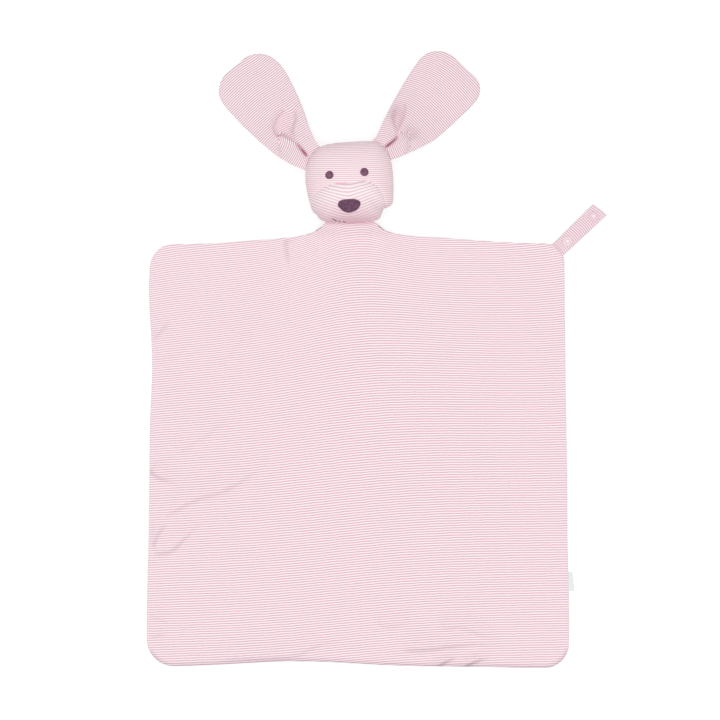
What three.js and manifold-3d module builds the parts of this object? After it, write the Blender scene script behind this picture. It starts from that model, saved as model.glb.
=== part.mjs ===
// A baby's comfort blanket: a square double layer of striped jersey with a stuffed animal head
// at its top edge, two flat paddle ears, a strap with a press stud at one corner and a small
// plain tab at one side. It lies flat on its back. The origin is at the middle of the blanket's
// underside, +X points to the viewer's right, +Y to the head and +Z up out of the face.
// Left and right are as seen from the front. All sizes are in millimetres.

import * as THREE from 'three';
import { mergeVertices } from 'three/addons/utils/BufferGeometryUtils.js';
import Module from 'manifold-3d';

const wasm = await Module();
wasm.setup();

// Cloth and clearances
const JERSEY = 1.0; // thickness of one layer of jersey
const GAP = 0.3; // air between layers and pieces that touch
const OVERRUN = 60; // how far a cutter runs past what it cuts

// Blanket
const BLANKET_TOP_WIDTH = 371;
const BLANKET_BOTTOM_WIDTH = 379;
const BLANKET_HEIGHT = 379;
const CORNER_RADIUS = 20;
const STRAP_CORNER_RADIUS = 17; // of the corner that the strap is sewn into
const ALLOWANCE = 7; // width of the turned-in seam allowance
const ROLL = 3.5; // width of the rolled outer edge
const RIM_AIR = 1.4; // air between the two turned-in allowances
const RIM_FADE = 10; // where the thick rim has run out into the flat cloth

// Neck
const NECK_X = -7;
const NECK_HALF_WIDTH = 24;
const NECK_RISE = 20; // from the blanket's straight top edge up to the neck seam
const NECK_CUT = 7.5; // how far the blanket itself rises, the neck cloth does the rest
const NECK_SWEEP = 14; // how quickly the top edge sweeps up to the neck
const NECK_LIFT = 9; // height of the front cloth above the surface at the neck
const NECK_LIFT_WIDTH = 38;
const NECK_LIFT_LENGTH = 34;
const NECK_FADE = 60; // how far down the blanket the rise of its top edge is felt
const NECK_OPEN_SHARES = [0.8, 1.2]; // of the neck's half width, where the top edge's rim begins

// Head
const HEAD_X = -7.6;
const HEAD_HALF_WIDTH = 40;
const HEAD_HALF_HEIGHT = 37;
const HEAD_FRONT_DEPTH = 28;
const HEAD_BACK_DEPTH = 19;
const MUZZLE_HALF_WIDTH = 33.5;
const MUZZLE_HALF_HEIGHT = 27.5;
const MUZZLE_DROP = 27; // from the middle of the head down to the middle of the muzzle
const MUZZLE_SHIFT = -1.5;
const MUZZLE_BULGE = 8;
const MUZZLE_ROUNDNESS = 0.75; // lower is blunter
const FACE_ROUNDNESS = 2.3; // higher is flatter in the middle
const NAPE_ROUNDNESS = 2.8;
const NAPE_BLUNTNESS = 0.45; // lower is fuller at the side seam

// Embroidery
const EYE_DIAMETER = 7.5;
const EYE_THICK = 0.9;
const EYES_APART = 31.5;
const EYES_SHIFT = -2.4;
const EYES_UP = 7.9; // above the middle of the head
const EYES_TILT = 4.3; // degrees
const NOSE_WIDTH = 20.2;
const NOSE_HEIGHT = 12.6;
const NOSE_DROP = 21.2; // below the middle of the head
const NOSE_TILT = 3; // degrees
const NOSE_THICK = 1.5;
const STITCH_WIDTH = 0.9;
const STITCH_THICK = 0.8;
const STITCH_RISE = 2; // from the bottom of the head to the middle of the stitches
const STITCH_HEIGHT = 1.6;
const STITCH_PITCH = 2.4;
const STITCHES = 5;
const STITCHES_START = -15; // from the middle of the head

// Ears
const LEFT_EAR_LENGTH = 107;
const RIGHT_EAR_LENGTH = 103;
const EAR_HALF_WIDTH = 31;
const EAR_TIP_RADIUS = 20;
const EAR_BASE_HEIGHT = 13; // underside of the ear where it leaves the head
const EAR_LANDING = 68; // where the ear reaches the surface that it lies on
const EAR_PUFF = 1.6;
const EAR_PLEAT_DEPTH = 5;
const EAR_PLEAT_LENGTH = 12; // the folded base, which bends as the ear flops
const EAR_PLEAT_FADE = 34;

// Strap
const STRAP_WIDTH = 15.3;
const STRAP_LENGTH = 51;
const STRAP_ANGLE = 43.7; // degrees from +X
const STRAP_ROOT = 8; // length sewn in between the layers
const STRAP_SEAM_LENGTH = 4; // soft length at the seam, where the strap flops
const STRAP_TIP_RADIUS = 2;

// Press stud
const STUD_FROM_SEAM = 10.9;
const STUDS_APART = 32.3;
const CAP_DIAMETER = 9.6;
const CAP_THICK = 0.9;
const CAP_DOME = 0.7;
const POST_DIAMETER = 2;
const FLANGE_DIAMETER = 8.8;
const FLANGE_THICK = 0.8;
const BULB_DIAMETER = 4;
const BULB_NECK_DIAMETER = 3.7;
const SNAP_HEIGHT = 2.4; // of the bulb and of the socket's wall, above the flange's underside
const SOCKET_WALL = 1.1;
const SNAP_STEPS = 24;

// Side tab
const TAB_WIDTH = 17;
const TAB_LENGTH = 4.6;
const TAB_THICK = 0.4; // one layer of the ribbon
const TAB_Y = -113;
const TAB_ROOT = 6;

const degrees = THREE.MathUtils.degToRad;
const blend = THREE.MathUtils.lerp;
const smooth = THREE.MathUtils.smoothstep;

// Solids

// A closed geometry, with its faces turned outwards, as a solid that can be joined and cut.
function solidOf(geometry) {
  const bare = geometry.clone();
  bare.deleteAttribute('normal');
  bare.deleteAttribute('uv');
  const merged = mergeVertices(bare);
  const vertProperties = Float32Array.from(merged.attributes.position.array);
  const triVerts = Uint32Array.from(merged.index.array);
  const solid = new wasm.Manifold(new wasm.Mesh({ numProp: 3, vertProperties, triVerts }));
  if (solid.volume() > 0) return solid;
  triVerts.reverse();
  return new wasm.Manifold(new wasm.Mesh({ numProp: 3, vertProperties, triVerts }));
}

function geometryOf(solid) {
  const mesh = solid.getMesh();
  const geometry = new THREE.BufferGeometry();
  geometry.setAttribute('position', new THREE.Float32BufferAttribute(mesh.vertProperties, 3));
  geometry.setIndex(Array.from(mesh.triVerts));
  const flat = geometry.toNonIndexed();
  flat.computeVertexNormals();
  return flat;
}

// A curved sheet with a top and an underside over a grid of rows and columns. spot gives
// { x, y, top, under } for a row and a column.
function sheet(rows, columns, spot) {
  const positions = [];
  const faces = [];
  const width = columns.length;
  const layer = rows.length * width;
  for (const side of ['top', 'under']) {
    for (const row of rows) {
      for (const column of columns) {
        const place = spot(row, column);
        positions.push(place.x, place.y, place[side]);
      }
    }
  }
  for (let r = 0; r + 1 < rows.length; r += 1) {
    for (let c = 0; c + 1 < width; c += 1) {
      const a = r * width + c;
      const b = a + 1;
      const d = a + width;
      const e = d + 1;
      faces.push(a, b, e, a, e, d);
      faces.push(layer + a, layer + e, layer + b, layer + a, layer + d, layer + e);
    }
  }
  const rim = [];
  for (let c = 0; c + 1 < width; c += 1) rim.push(c);
  for (let r = 0; r + 1 < rows.length; r += 1) rim.push(r * width + width - 1);
  for (let c = width - 1; c > 0; c -= 1) rim.push((rows.length - 1) * width + c);
  for (let r = rows.length - 1; r > 0; r -= 1) rim.push(r * width);
  rim.forEach((from, i) => {
    const to = rim[(i + 1) % rim.length];
    faces.push(from, layer + from, to, to, layer + from, layer + to);
  });
  const geometry = new THREE.BufferGeometry();
  geometry.setAttribute('position', new THREE.Float32BufferAttribute(positions, 3));
  geometry.setIndex(faces);
  return geometry;
}

// Grid lines from one end to the other: close together along a rim, even between the rims.
function gridLines(length, rimLines, cells) {
  const inner = rimLines[rimLines.length - 1];
  const lines = [...rimLines];
  for (let i = 1; i < cells; i += 1) lines.push(blend(inner, length - inner, i / cells));
  return [...lines, ...rimLines.map((line) => length - line).reverse()];
}

// A profile of [radius, height] turned round +Z.
function revolve(profile) {
  const points = profile.map(([radius, height]) => new THREE.Vector2(radius, height));
  return geometryOf(solidOf(new THREE.LatheGeometry(points, SNAP_STEPS).rotateX(degrees(90))));
}

// An outline in X and Y drawn out along +Z. Its curves have that many steps.
function prism(shape, height, steps = 1) {
  const settings = { depth: height, bevelEnabled: false, curveSegments: steps };
  return new THREE.ExtrudeGeometry(shape, settings);
}

function box(x, y, z, centre) {
  return new THREE.BoxGeometry(x, y, z).translate(centre.x, centre.y, centre.z);
}

// Blanket

const blanketTop = BLANKET_HEIGHT / 2;
const edgeLines = [0, ROLL, ALLOWANCE, RIM_FADE];
const FRONT_CELLS = 18; // between the rims of the front layer, which lies in folds
const BACK_CELLS = 8; // of the back layer, which lies flat

function halfWidthAt(y) {
  return blend(BLANKET_BOTTOM_WIDTH, BLANKET_TOP_WIDTH, y / BLANKET_HEIGHT + 0.5) / 2;
}

// How much the rounded corner takes off the width, at a distance from the top or bottom edge.
function cornerCut(distance, radius) {
  const reach = Math.max(radius - distance, 0);
  return radius - Math.sqrt(radius ** 2 - reach ** 2);
}

// How far the top edge has risen towards the neck, at a distance from the middle of the neck.
function neckRise(x) {
  const outside = Math.max(Math.abs(x - NECK_X) - NECK_HALF_WIDTH, 0);
  return NECK_RISE / (1 + outside / NECK_SWEEP);
}

// Half the width of the cloth at a height above the straight top edge, the reverse of neckRise.
function neckHalfWidth(rise) {
  return NECK_HALF_WIDTH + NECK_SWEEP * (NECK_RISE / rise - 1);
}

function distanceToSides(x, y) {
  return halfWidthAt(y) - Math.abs(x);
}

function cornerRadius(x, y) {
  return x > 0 && y > 0 ? STRAP_CORNER_RADIUS : CORNER_RADIUS;
}

// Distance in from the blanket's edge. The cloth runs on across the neck, so no edge is there.
function distanceToEdge(x, y) {
  const radius = cornerRadius(x, y);
  const sides = distanceToSides(x, y);
  const off = Math.abs(x - NECK_X) / neckHalfWidth(NECK_CUT);
  const across = y > 0 ? blend(BLANKET_HEIGHT, 0, smooth(off, ...NECK_OPEN_SHARES)) : 0;
  const ends = blanketTop - Math.abs(y) + across;
  if (sides < radius && ends < radius) {
    return radius - Math.hypot(radius - sides, radius - ends);
  }
  return Math.min(sides, ends);
}

// How far the cloth is lifted where it rises to the neck.
function neckLift(x, y) {
  const across = Math.exp(-(((x - NECK_X) / NECK_LIFT_WIDTH) ** 2));
  const along = Math.exp(-(((blanketTop + NECK_CUT - y) / NECK_LIFT_LENGTH) ** 2));
  return NECK_LIFT * across * along;
}

const strapCorner = new THREE.Vector2(
  halfWidthAt(blanketTop) - STRAP_CORNER_RADIUS,
  blanketTop - STRAP_CORNER_RADIUS,
);
const strapWay = new THREE.Vector2(Math.cos(degrees(STRAP_ANGLE)), Math.sin(degrees(STRAP_ANGLE)));
const strapSeam = strapCorner.clone().addScaledVector(strapWay, STRAP_CORNER_RADIUS);
strapSeam.y += neckRise(strapSeam.x);
const strapThick = 2 * JERSEY;
const rootHeight = 2 * JERSEY + GAP; // underside of what is sewn in between the allowances

// The main folds that the front layer lies in: both ends as shares of the blanket's half width
// and half height, then the height and half width of the fold as shares of the two sizes below.
const FOLD_HEIGHT = 3.4;
const FOLD_HALF_WIDTH = 12;
const FOLD_SHARES = [
  { from: [-0.98, -0.28], to: [-0.62, -0.46], height: 0.8, width: 1.0 },
  { from: [-0.99, -0.06], to: [-0.74, -0.2], height: 0.7, width: 0.9 },
  { from: [-0.6, 0.02], to: [-0.2, -0.34], height: 0.5, width: 1.7 },
  { from: [0.3, -0.98], to: [0.16, -0.5], height: 0.9, width: 1.1 },
  { from: [0.66, -0.99], to: [0.5, -0.62], height: 0.8, width: 1.1 },
  { from: [-0.42, -0.99], to: [-0.5, -0.7], height: 0.6, width: 1.2 },
  { from: [-0.16, 0.98], to: [-0.44, 0.62], height: 0.8, width: 1.0 },
  { from: [0.1, 0.98], to: [0.3, 0.5], height: 0.8, width: 1.2 },
  { from: [-0.02, 0.9], to: [0.02, 0.1], height: 0.7, width: 1.6 },
  { from: [0.98, 0.3], to: [0.7, 0.12], height: 0.6, width: 1.1 },
];

function foldHeight(x, y) {
  let height = 0;
  for (const fold of FOLD_SHARES) {
    const from = new THREE.Vector2(fold.from[0], fold.from[1]);
    const to = new THREE.Vector2(fold.to[0], fold.to[1]);
    for (const end of [from, to]) {
      end.multiply(new THREE.Vector2(BLANKET_TOP_WIDTH / 2, blanketTop));
    }
    const along = to.clone().sub(from);
    const spot = new THREE.Vector2(x, y).sub(from);
    const share = THREE.MathUtils.clamp(spot.dot(along) / along.lengthSq(), 0, 1);
    const off = spot.distanceTo(along.multiplyScalar(share)) / (FOLD_HALF_WIDTH * fold.width);
    height += FOLD_HEIGHT * fold.height * Math.exp(-(off ** 2)) * (1 - smooth(share, 0.4, 1));
  }
  return height;
}

// Extra height of the front layer over the sewn-in end of the strap.
function strapBump(x, y) {
  const off = new THREE.Vector2(x, y).distanceTo(strapSeam) / (2 * STRAP_ROOT);
  return (strapThick + 2 * GAP - RIM_AIR) * Math.exp(-(off ** 4));
}

// Top and underside of the front layer. Its rim is two layers thick and rolls down at the edge.
function frontHeights(x, y) {
  const edge = distanceToEdge(x, y);
  const flat = JERSEY + GAP;
  const rimTop = 2 * JERSEY + RIM_AIR;
  const rolled = blend(rootHeight, rimTop, smooth(edge, 0, ROLL));
  const rim = edge < ALLOWANCE + GAP ? rolled : blend(rimTop, flat, smooth(edge, ALLOWANCE, RIM_FADE));
  const lift = neckLift(x, y) + foldHeight(x, y) * smooth(edge, 0, RIM_FADE) + strapBump(x, y);
  const layers = edge > 0 && edge < ALLOWANCE + GAP ? 2 : 1;
  return { under: rim + lift, top: rim + lift + layers * JERSEY };
}

// Top and underside of the back layer, flat on the surface but for its rise to the neck.
function backHeights(x, y) {
  const edge = distanceToEdge(x, y);
  const lift = neckLift(x, y) / 2;
  const layers = edge < ALLOWANCE + GAP ? 2 : 1;
  return { under: lift, top: lift + layers * JERSEY };
}

// One layer of the blanket. Its grid follows the rounded corners and the rise to the neck.
function blanketLayer(cells, heights) {
  const shares = gridLines(1, edgeLines.map((line) => line / BLANKET_TOP_WIDTH), cells);
  const rows = gridLines(BLANKET_HEIGHT, edgeLines, cells);
  return sheet(rows, shares, (row, share) => {
    const y = row - blanketTop;
    const side = 2 * share - 1;
    const cut = cornerCut(Math.min(row, BLANKET_HEIGHT - row), cornerRadius(side, y));
    const x = side * (halfWidthAt(y) - cut);
    const fade = smooth(y, blanketTop - NECK_FADE, blanketTop);
    return { x, y: y + Math.min(neckRise(x), NECK_CUT) * fade, ...heights(x, y) };
  });
}

// The back layer and the air over it, which the front layer keeps clear of.
function backClearance() {
  return solidOf(blanketLayer(BACK_CELLS, (x, y) => {
    const { under, top } = backHeights(x, y);
    return { under, top: top + GAP };
  }));
}

function blanketFront() {
  const layer = solidOf(blanketLayer(FRONT_CELLS, frontHeights));
  return geometryOf(layer.subtract(backClearance()).subtract(strapPassage()).subtract(tabPassage()));
}

function blanketBack() {
  return blanketLayer(BACK_CELLS, backHeights);
}

// Head

const headY = blanketTop + NECK_RISE + HEAD_HALF_HEIGHT;
const headZ = HEAD_BACK_DEPTH; // height of the seam between the face and the back of the head

// Outline of the head as shares of its half width and half height, clockwise from the top.
const HEAD_OUTLINE_SHARES = [
  [0.03, 0.98], [0.36, 1.0], [0.6, 0.98], [0.8, 0.81], [0.93, 0.54], [0.99, 0.1],
  [1.0, -0.35], [0.87, -0.66], [0.6, -0.94], [0.0, -1.0], [-0.58, -0.96], [-0.86, -0.66],
  [-0.97, -0.2], [-1.0, 0.15], [-0.97, 0.4], [-0.86, 0.66], [-0.66, 0.86], [-0.34, 0.95],
];
const HEAD_STEPS = 40;
const HEAD_RINGS = 9;
const MUZZLE_STEPS = 20;
const EYE_STEPS = 10;
const NOSE_STEPS = 24;

const headOutline = new THREE.CatmullRomCurve3(
  HEAD_OUTLINE_SHARES.map(([x, y]) => new THREE.Vector3(x, y, 0)),
  true,
  'centripetal',
).getSpacedPoints(HEAD_STEPS).slice(0, HEAD_STEPS);

const muzzle = new THREE.Vector2(HEAD_X + MUZZLE_SHIFT, headY - MUZZLE_DROP);

// How far the muzzle stands out of the face.
function muzzleBulge(x, y) {
  const off = Math.hypot((x - muzzle.x) / MUZZLE_HALF_WIDTH, (y - muzzle.y) / MUZZLE_HALF_HEIGHT);
  return off < 1 ? MUZZLE_BULGE * (1 - off ** 2) ** MUZZLE_ROUNDNESS : 0;
}

// The whole stuffed head, swollen or shrunk by an offset: rings from the side seam up to the
// middle of the face, and down to the middle of the back, which lies flatter.
function headSolid(offset) {
  const halfWidth = HEAD_HALF_WIDTH + offset;
  const halfHeight = HEAD_HALF_HEIGHT + offset;
  const positions = [];
  const faces = [];
  for (let ring = 1 - HEAD_RINGS; ring < HEAD_RINGS; ring += 1) {
    const angle = (ring / HEAD_RINGS) * (Math.PI / 2);
    const share = Math.cos(angle);
    for (const point of headOutline) {
      const x = point.x * share;
      const y = point.y * share;
      const bulge = muzzleBulge(HEAD_X + x * HEAD_HALF_WIDTH, headY + y * HEAD_HALF_HEIGHT);
      const face = Math.sqrt(1 - share ** FACE_ROUNDNESS) * (HEAD_FRONT_DEPTH + offset);
      const front = face + bulge * Math.min(1, 2 * Math.sin(angle));
      const back = (1 - share ** NAPE_ROUNDNESS) ** NAPE_BLUNTNESS * (HEAD_BACK_DEPTH + offset);
      positions.push(x * halfWidth, y * halfHeight, ring < 0 ? -back : front * Math.sign(ring));
    }
  }
  const rings = 2 * HEAD_RINGS - 1;
  const poles = [positions.length / 3, positions.length / 3 + 1];
  positions.push(0, 0, -HEAD_BACK_DEPTH - offset);
  positions.push(0, 0, HEAD_FRONT_DEPTH + offset + muzzleBulge(HEAD_X, headY));
  for (let i = 0; i < HEAD_STEPS; i += 1) {
    const next = (i + 1) % HEAD_STEPS;
    for (let ring = 0; ring + 1 < rings; ring += 1) {
      const a = ring * HEAD_STEPS;
      const b = a + HEAD_STEPS;
      faces.push(a + i, b + i, a + next, a + next, b + i, b + next);
    }
    const last = (rings - 1) * HEAD_STEPS;
    faces.push(poles[0], i, next, last + i, poles[1], last + next);
  }
  const geometry = new THREE.BufferGeometry();
  geometry.setAttribute('position', new THREE.Float32BufferAttribute(positions, 3));
  geometry.setIndex(faces);
  return solidOf(geometry.translate(HEAD_X, headY, headZ));
}

const headOutside = headSolid(0);
const headClearance = headSolid(GAP);
const headInside = headSolid(-JERSEY);
const headShell = headOutside.subtract(headInside);

function muzzleCutter(clearance) {
  const shape = new THREE.Shape();
  const halfWidth = MUZZLE_HALF_WIDTH + clearance;
  const halfHeight = MUZZLE_HALF_HEIGHT + clearance;
  shape.absellipse(muzzle.x, muzzle.y, halfWidth, halfHeight, 0, 2 * Math.PI);
  return solidOf(prism(shape, OVERRUN, MUZZLE_STEPS).translate(0, 0, headZ + GAP / 2));
}

// A block that holds everything on one side of the seams of the head.
function headBlock(x, z) {
  const centre = new THREE.Vector3(
    HEAD_X + x * (OVERRUN + GAP) / 2,
    headY,
    headZ + z * (OVERRUN + GAP) / 2,
  );
  return solidOf(box(OVERRUN * (2 - Math.abs(x)), 2 * OVERRUN, OVERRUN, centre));
}

function facePanel() {
  return geometryOf(headShell.intersect(headBlock(0, 1)).subtract(muzzleCutter(GAP / 2)));
}

function muzzlePanel() {
  return geometryOf(headShell.intersect(headBlock(0, 1)).intersect(muzzleCutter(-GAP / 2)));
}

function headBack(side) {
  return geometryOf(headShell.intersect(headBlock(side, -1)));
}

function headStuffing() {
  return geometryOf(headSolid(-JERSEY - GAP));
}

// Thread worked on the head: an outline seen from the front, laid on the curve of the cloth.
function embroidery(shape, thick, steps = 1) {
  const layer = headSolid(GAP + thick).subtract(headClearance);
  const cutter = solidOf(prism(shape, 2 * OVERRUN, steps).translate(0, 0, headZ + GAP));
  return geometryOf(layer.intersect(cutter));
}

function eye(side) {
  const tilt = degrees(EYES_TILT);
  const x = HEAD_X + EYES_SHIFT + side * Math.cos(tilt) * EYES_APART / 2;
  const y = headY + EYES_UP + side * Math.sin(tilt) * EYES_APART / 2;
  const shape = new THREE.Shape().absarc(x, y, EYE_DIAMETER / 2, 0, 2 * Math.PI);
  return embroidery(shape, EYE_THICK, EYE_STEPS);
}

// The nose: wide and gently arched at the top, drawn in to a rounded bottom.
const NOSE_SHARES = [
  [0, 1], [0.42, 0.99], [0.78, 0.84], [0.98, 0.42], [0.93, -0.1], [0.55, -0.74],
  [0.05, -1], [-0.45, -0.8], [-0.88, -0.2], [-0.99, 0.32], [-0.82, 0.76], [-0.42, 0.96],
];

function nose() {
  const tilt = degrees(NOSE_TILT);
  const half = new THREE.Vector2(NOSE_WIDTH / 2, NOSE_HEIGHT / 2);
  const points = NOSE_SHARES.map(([x, y]) => new THREE.Vector2(x, y).multiply(half));
  const centre = new THREE.Vector2(HEAD_X, headY - NOSE_DROP);
  const turned = points.map((point) => point.rotateAround(new THREE.Vector2(), tilt).add(centre));
  const outline = new THREE.SplineCurve([...turned, turned[0]]);
  return embroidery(new THREE.Shape(outline.getPoints(NOSE_STEPS)), NOSE_THICK);
}

// The hand stitches under the chin: one thread that runs up and down across the seam.
function closingStitches() {
  const middle = headY - HEAD_HALF_HEIGHT + STITCH_RISE;
  const corners = [];
  for (let i = 0; i <= 2 * STITCHES; i += 1) {
    const swing = i % 2 === 0 ? -1 : 1;
    const x = HEAD_X + STITCHES_START + (i * STITCH_PITCH) / 2;
    corners.push(new THREE.Vector2(x, middle + (swing * STITCH_HEIGHT) / 2));
  }
  const half = new THREE.Vector2(0, STITCH_WIDTH / 2);
  const upper = corners.map((corner) => corner.clone().add(half));
  const lower = corners.map((corner) => corner.clone().sub(half)).reverse();
  return embroidery(new THREE.Shape([...upper, ...lower]), STITCH_THICK);
}

// Neck cloth: the two layers gathered up from the blanket's top edge to the head.
const NECK_ROW_SHARES = [0, 0.2, 0.45, 0.7, 1, 1.5];
const NECK_COLUMN_SHARES = [-1, -0.8, -0.55, -0.25, 0, 0.25, 0.55, 0.8, 1];

function neckCloth(isFront) {
  const between = JERSEY + GAP;
  const first = NECK_CUT + GAP;
  const cloth = sheet(NECK_ROW_SHARES, NECK_COLUMN_SHARES, (row, column) => {
    const rise = blend(first, NECK_RISE, row);
    const x = NECK_X + column * neckHalfWidth(Math.min(rise, NECK_RISE));
    const climbed = smooth(row, 0, 1);
    const lift = neckLift(x, blanketTop);
    const back = blend(lift / 2, headZ / 2 - JERSEY, climbed);
    const arch = blend(lift + foldHeight(x, blanketTop), headZ - 3 * JERSEY, climbed);
    const open = 1 - climbed * column ** 4;
    const under = isFront ? Math.max(back, blend(back, arch, open)) + between : back;
    return { x, y: blanketTop + rise, under, top: under + JERSEY };
  });
  return geometryOf(solidOf(cloth).subtract(headClearance));
}

// Ears

// Where each ear leaves the head, as shares of the head's half width and half height from its
// middle, which way it points in degrees from +X, and on which side its fuller edge lies.
const EARS = {
  left: { rootShares: [-0.845, 0.611], angle: 130.2, fuller: 1, length: LEFT_EAR_LENGTH },
  right: { rootShares: [0.7325, 0.803], angle: 46.6, fuller: -1, length: RIGHT_EAR_LENGTH },
};

// Half widths of the ear on its fuller and its straighter side, as shares of EAR_HALF_WIDTH,
// each after the share of the length where it is reached.
const EAR_FULL_SHARES = [
  [0, 0.42], [0.05, 0.56], [0.1, 0.65], [0.2, 0.76], [0.3, 0.84], [0.45, 0.92], [0.6, 0.97],
  [0.75, 1], [1, 0.97],
];
const EAR_STRAIGHT_SHARES = [
  [0, 0.36], [0.1, 0.37], [0.2, 0.46], [0.3, 0.6], [0.4, 0.73], [0.5, 0.83], [0.6, 0.92],
  [0.7, 0.98], [0.8, 1], [1, 0.97],
];
const EAR_COLUMN_SHARES = [-1, -0.92, -0.82, -0.62, -0.3, 0, 0.3, 0.62, 0.82, 0.92, 1];
const EAR_RIM_SHARE = 0.8; // from here outwards the allowances make each side two layers thick
const EAR_ROWS = 9; // rows of the grid from the pleat to the tip
const EAR_TIP_SHARES = [0.65, 0.35, 0.15, 0]; // rows round the tip, as shares of EAR_TIP_RADIUS

function shareFrom(table, at) {
  const next = Math.max(table.findIndex(([share]) => share >= at), 1);
  const [low, lowValue] = table[next - 1];
  const [high, highValue] = table[next];
  return blend(lowValue, highValue, (at - low) / (high - low));
}

function earHalfWidth(ear, along, column) {
  const table = column > 0 ? EAR_FULL_SHARES : EAR_STRAIGHT_SHARES;
  const share = shareFrom(table, THREE.MathUtils.clamp(along / ear.length, 0, 1));
  return share * EAR_HALF_WIDTH - cornerCut(ear.length - along, EAR_TIP_RADIUS);
}

// Underside of the ear: it comes down from the head to the surface, and its pleated base is
// folded into a valley.
function earHeight(along, column) {
  const start = Math.max(along, 0);
  const drop = EAR_BASE_HEIGHT * (1 - smooth(start, 0, EAR_LANDING));
  return drop + EAR_PLEAT_DEPTH * column ** 2 * Math.exp(-start / EAR_PLEAT_FADE);
}

function earSpot(ear, along, column) {
  const across = ear.fuller * column * earHalfWidth(ear, along, column);
  const turn = degrees(ear.angle);
  const rootX = HEAD_X + ear.rootShares[0] * HEAD_HALF_WIDTH;
  const rootY = headY + ear.rootShares[1] * HEAD_HALF_HEIGHT;
  return {
    x: rootX + along * Math.cos(turn) - across * Math.sin(turn),
    y: rootY + along * Math.sin(turn) + across * Math.cos(turn),
  };
}

// Heights of the back and the front layer above the ear's underside, rolled at the edge.
function earLayers(column) {
  const rim = Math.abs(column) > EAR_RIM_SHARE;
  const rolled = Math.abs(column) === 1;
  const layers = rim && !rolled ? 2 : 1;
  const puff = EAR_PUFF * (1 - column ** 2);
  const backUnder = rolled ? JERSEY - GAP : 0;
  const frontUnder = (rim ? 2 * JERSEY : JERSEY + puff) + GAP;
  return { backUnder, frontUnder, thick: layers * JERSEY };
}

function earPanel(ear, isFront) {
  const tipRows = EAR_TIP_SHARES.map((share) => ear.length - share * EAR_TIP_RADIUS);
  const rows = [];
  for (let i = 0; i < EAR_ROWS; i += 1) {
    rows.push(blend(EAR_PLEAT_LENGTH, tipRows[0], i / EAR_ROWS));
  }
  rows.push(...tipRows);
  const panel = sheet(rows, EAR_COLUMN_SHARES, (along, column) => {
    const layer = earLayers(column);
    const under = earHeight(along, column) + (isFront ? layer.frontUnder : layer.backUnder);
    return { ...earSpot(ear, along, column), under, top: under + layer.thick };
  });
  return geometryOf(solidOf(panel).subtract(headClearance));
}

// The folded base of the ear, both layers together, from the head seam to the flat of the ear.
const PLEAT_ROW_SHARES = [-0.6, -0.3, 0, 0.35, 0.7, 1];

function earPleat(ear) {
  const rows = PLEAT_ROW_SHARES.map((share) => share * (EAR_PLEAT_LENGTH - GAP));
  const pleat = sheet(rows, EAR_COLUMN_SHARES, (along, column) => {
    const layer = earLayers(column);
    const height = earHeight(along, column);
    const under = height + layer.backUnder;
    const top = height + layer.frontUnder + layer.thick;
    return { ...earSpot(ear, along, column), under, top };
  });
  return geometryOf(solidOf(pleat).subtract(headClearance));
}

// Strap, in its own frame: from its seam along +X, with its width along Y

const rootTop = rootHeight + strapThick;
const foldAlong = STUD_FROM_SEAM + STUDS_APART / 2;
const flangeUnder = rootTop + GAP;
const foldZ = flangeUnder + (FLANGE_THICK + GAP + SNAP_HEIGHT) / 2;
const foldLength = Math.PI * (foldZ - (rootHeight + rootTop) / 2);
const postHole = POST_DIAMETER / 2 + GAP;
const STRAP_STEPS = 8;

function strapPiece(from, to, studs, tipRadius) {
  const half = STRAP_WIDTH / 2;
  const shape = new THREE.Shape();
  shape.moveTo(from, -half);
  shape.lineTo(to - tipRadius, -half);
  shape.quadraticCurveTo(to, -half, to, tipRadius - half);
  shape.lineTo(to, half - tipRadius);
  shape.quadraticCurveTo(to, half, to - tipRadius, half);
  shape.lineTo(from, half);
  shape.closePath();
  for (const stud of studs) {
    shape.holes.push(new THREE.Path().absarc(stud, 0, postHole, 0, 2 * Math.PI));
  }
  return prism(shape, strapThick, STRAP_STEPS).translate(0, 0, rootHeight);
}

function onStrap(geometry) {
  return geometry.rotateZ(degrees(STRAP_ANGLE)).translate(strapSeam.x, strapSeam.y, 0);
}

function strapPassage() {
  const length = STRAP_ROOT + ROLL + 2 * GAP;
  const height = strapThick + 2 * GAP;
  const centre = new THREE.Vector3(ROLL + GAP - length / 2, 0, rootHeight + strapThick / 2);
  return solidOf(onStrap(box(length, STRAP_WIDTH + 2 * GAP, height, centre)));
}

// Press stud: a cap under the cloth, whose post goes through the cloth and is riveted in the
// stud or the socket on top of it

const edgeBreak = FLANGE_THICK / 3;
const CAP_DOME_SHARES = [[0.55, 0.8], [0.85, 0.35]]; // of the cap's radius and of its dome
const CAP_SIDE_SHARE = 0.75; // how much of the cap's side is upright

function cap(postTop) {
  const radius = CAP_DIAMETER / 2;
  const seat = rootHeight - GAP;
  const post = POST_DIAMETER / 2;
  return revolve([
    [0, seat - CAP_THICK - CAP_DOME],
    ...CAP_DOME_SHARES.map(([out, down]) => [radius * out, seat - CAP_THICK - CAP_DOME * down]),
    [radius, seat - CAP_THICK * CAP_SIDE_SHARE],
    [radius, seat],
    [post, seat],
    [post, postTop - edgeBreak],
    [post - edgeBreak, postTop],
    [0, postTop],
  ]);
}

function flangeProfile() {
  const radius = FLANGE_DIAMETER / 2;
  const top = flangeUnder + FLANGE_THICK;
  return [
    [postHole, flangeUnder],
    [radius, flangeUnder],
    [radius, top - edgeBreak],
    [radius - edgeBreak, top],
  ];
}

function snapStud() {
  const bulb = BULB_DIAMETER / 2;
  const neck = BULB_NECK_DIAMETER / 2;
  const top = flangeUnder + SNAP_HEIGHT;
  return revolve([
    ...flangeProfile(),
    [neck, flangeUnder + FLANGE_THICK],
    [bulb, blend(flangeUnder + FLANGE_THICK, top, 0.5)],
    [bulb, top - edgeBreak],
    [bulb - edgeBreak, top],
    [postHole, top],
    [postHole, flangeUnder],
  ]);
}

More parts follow.
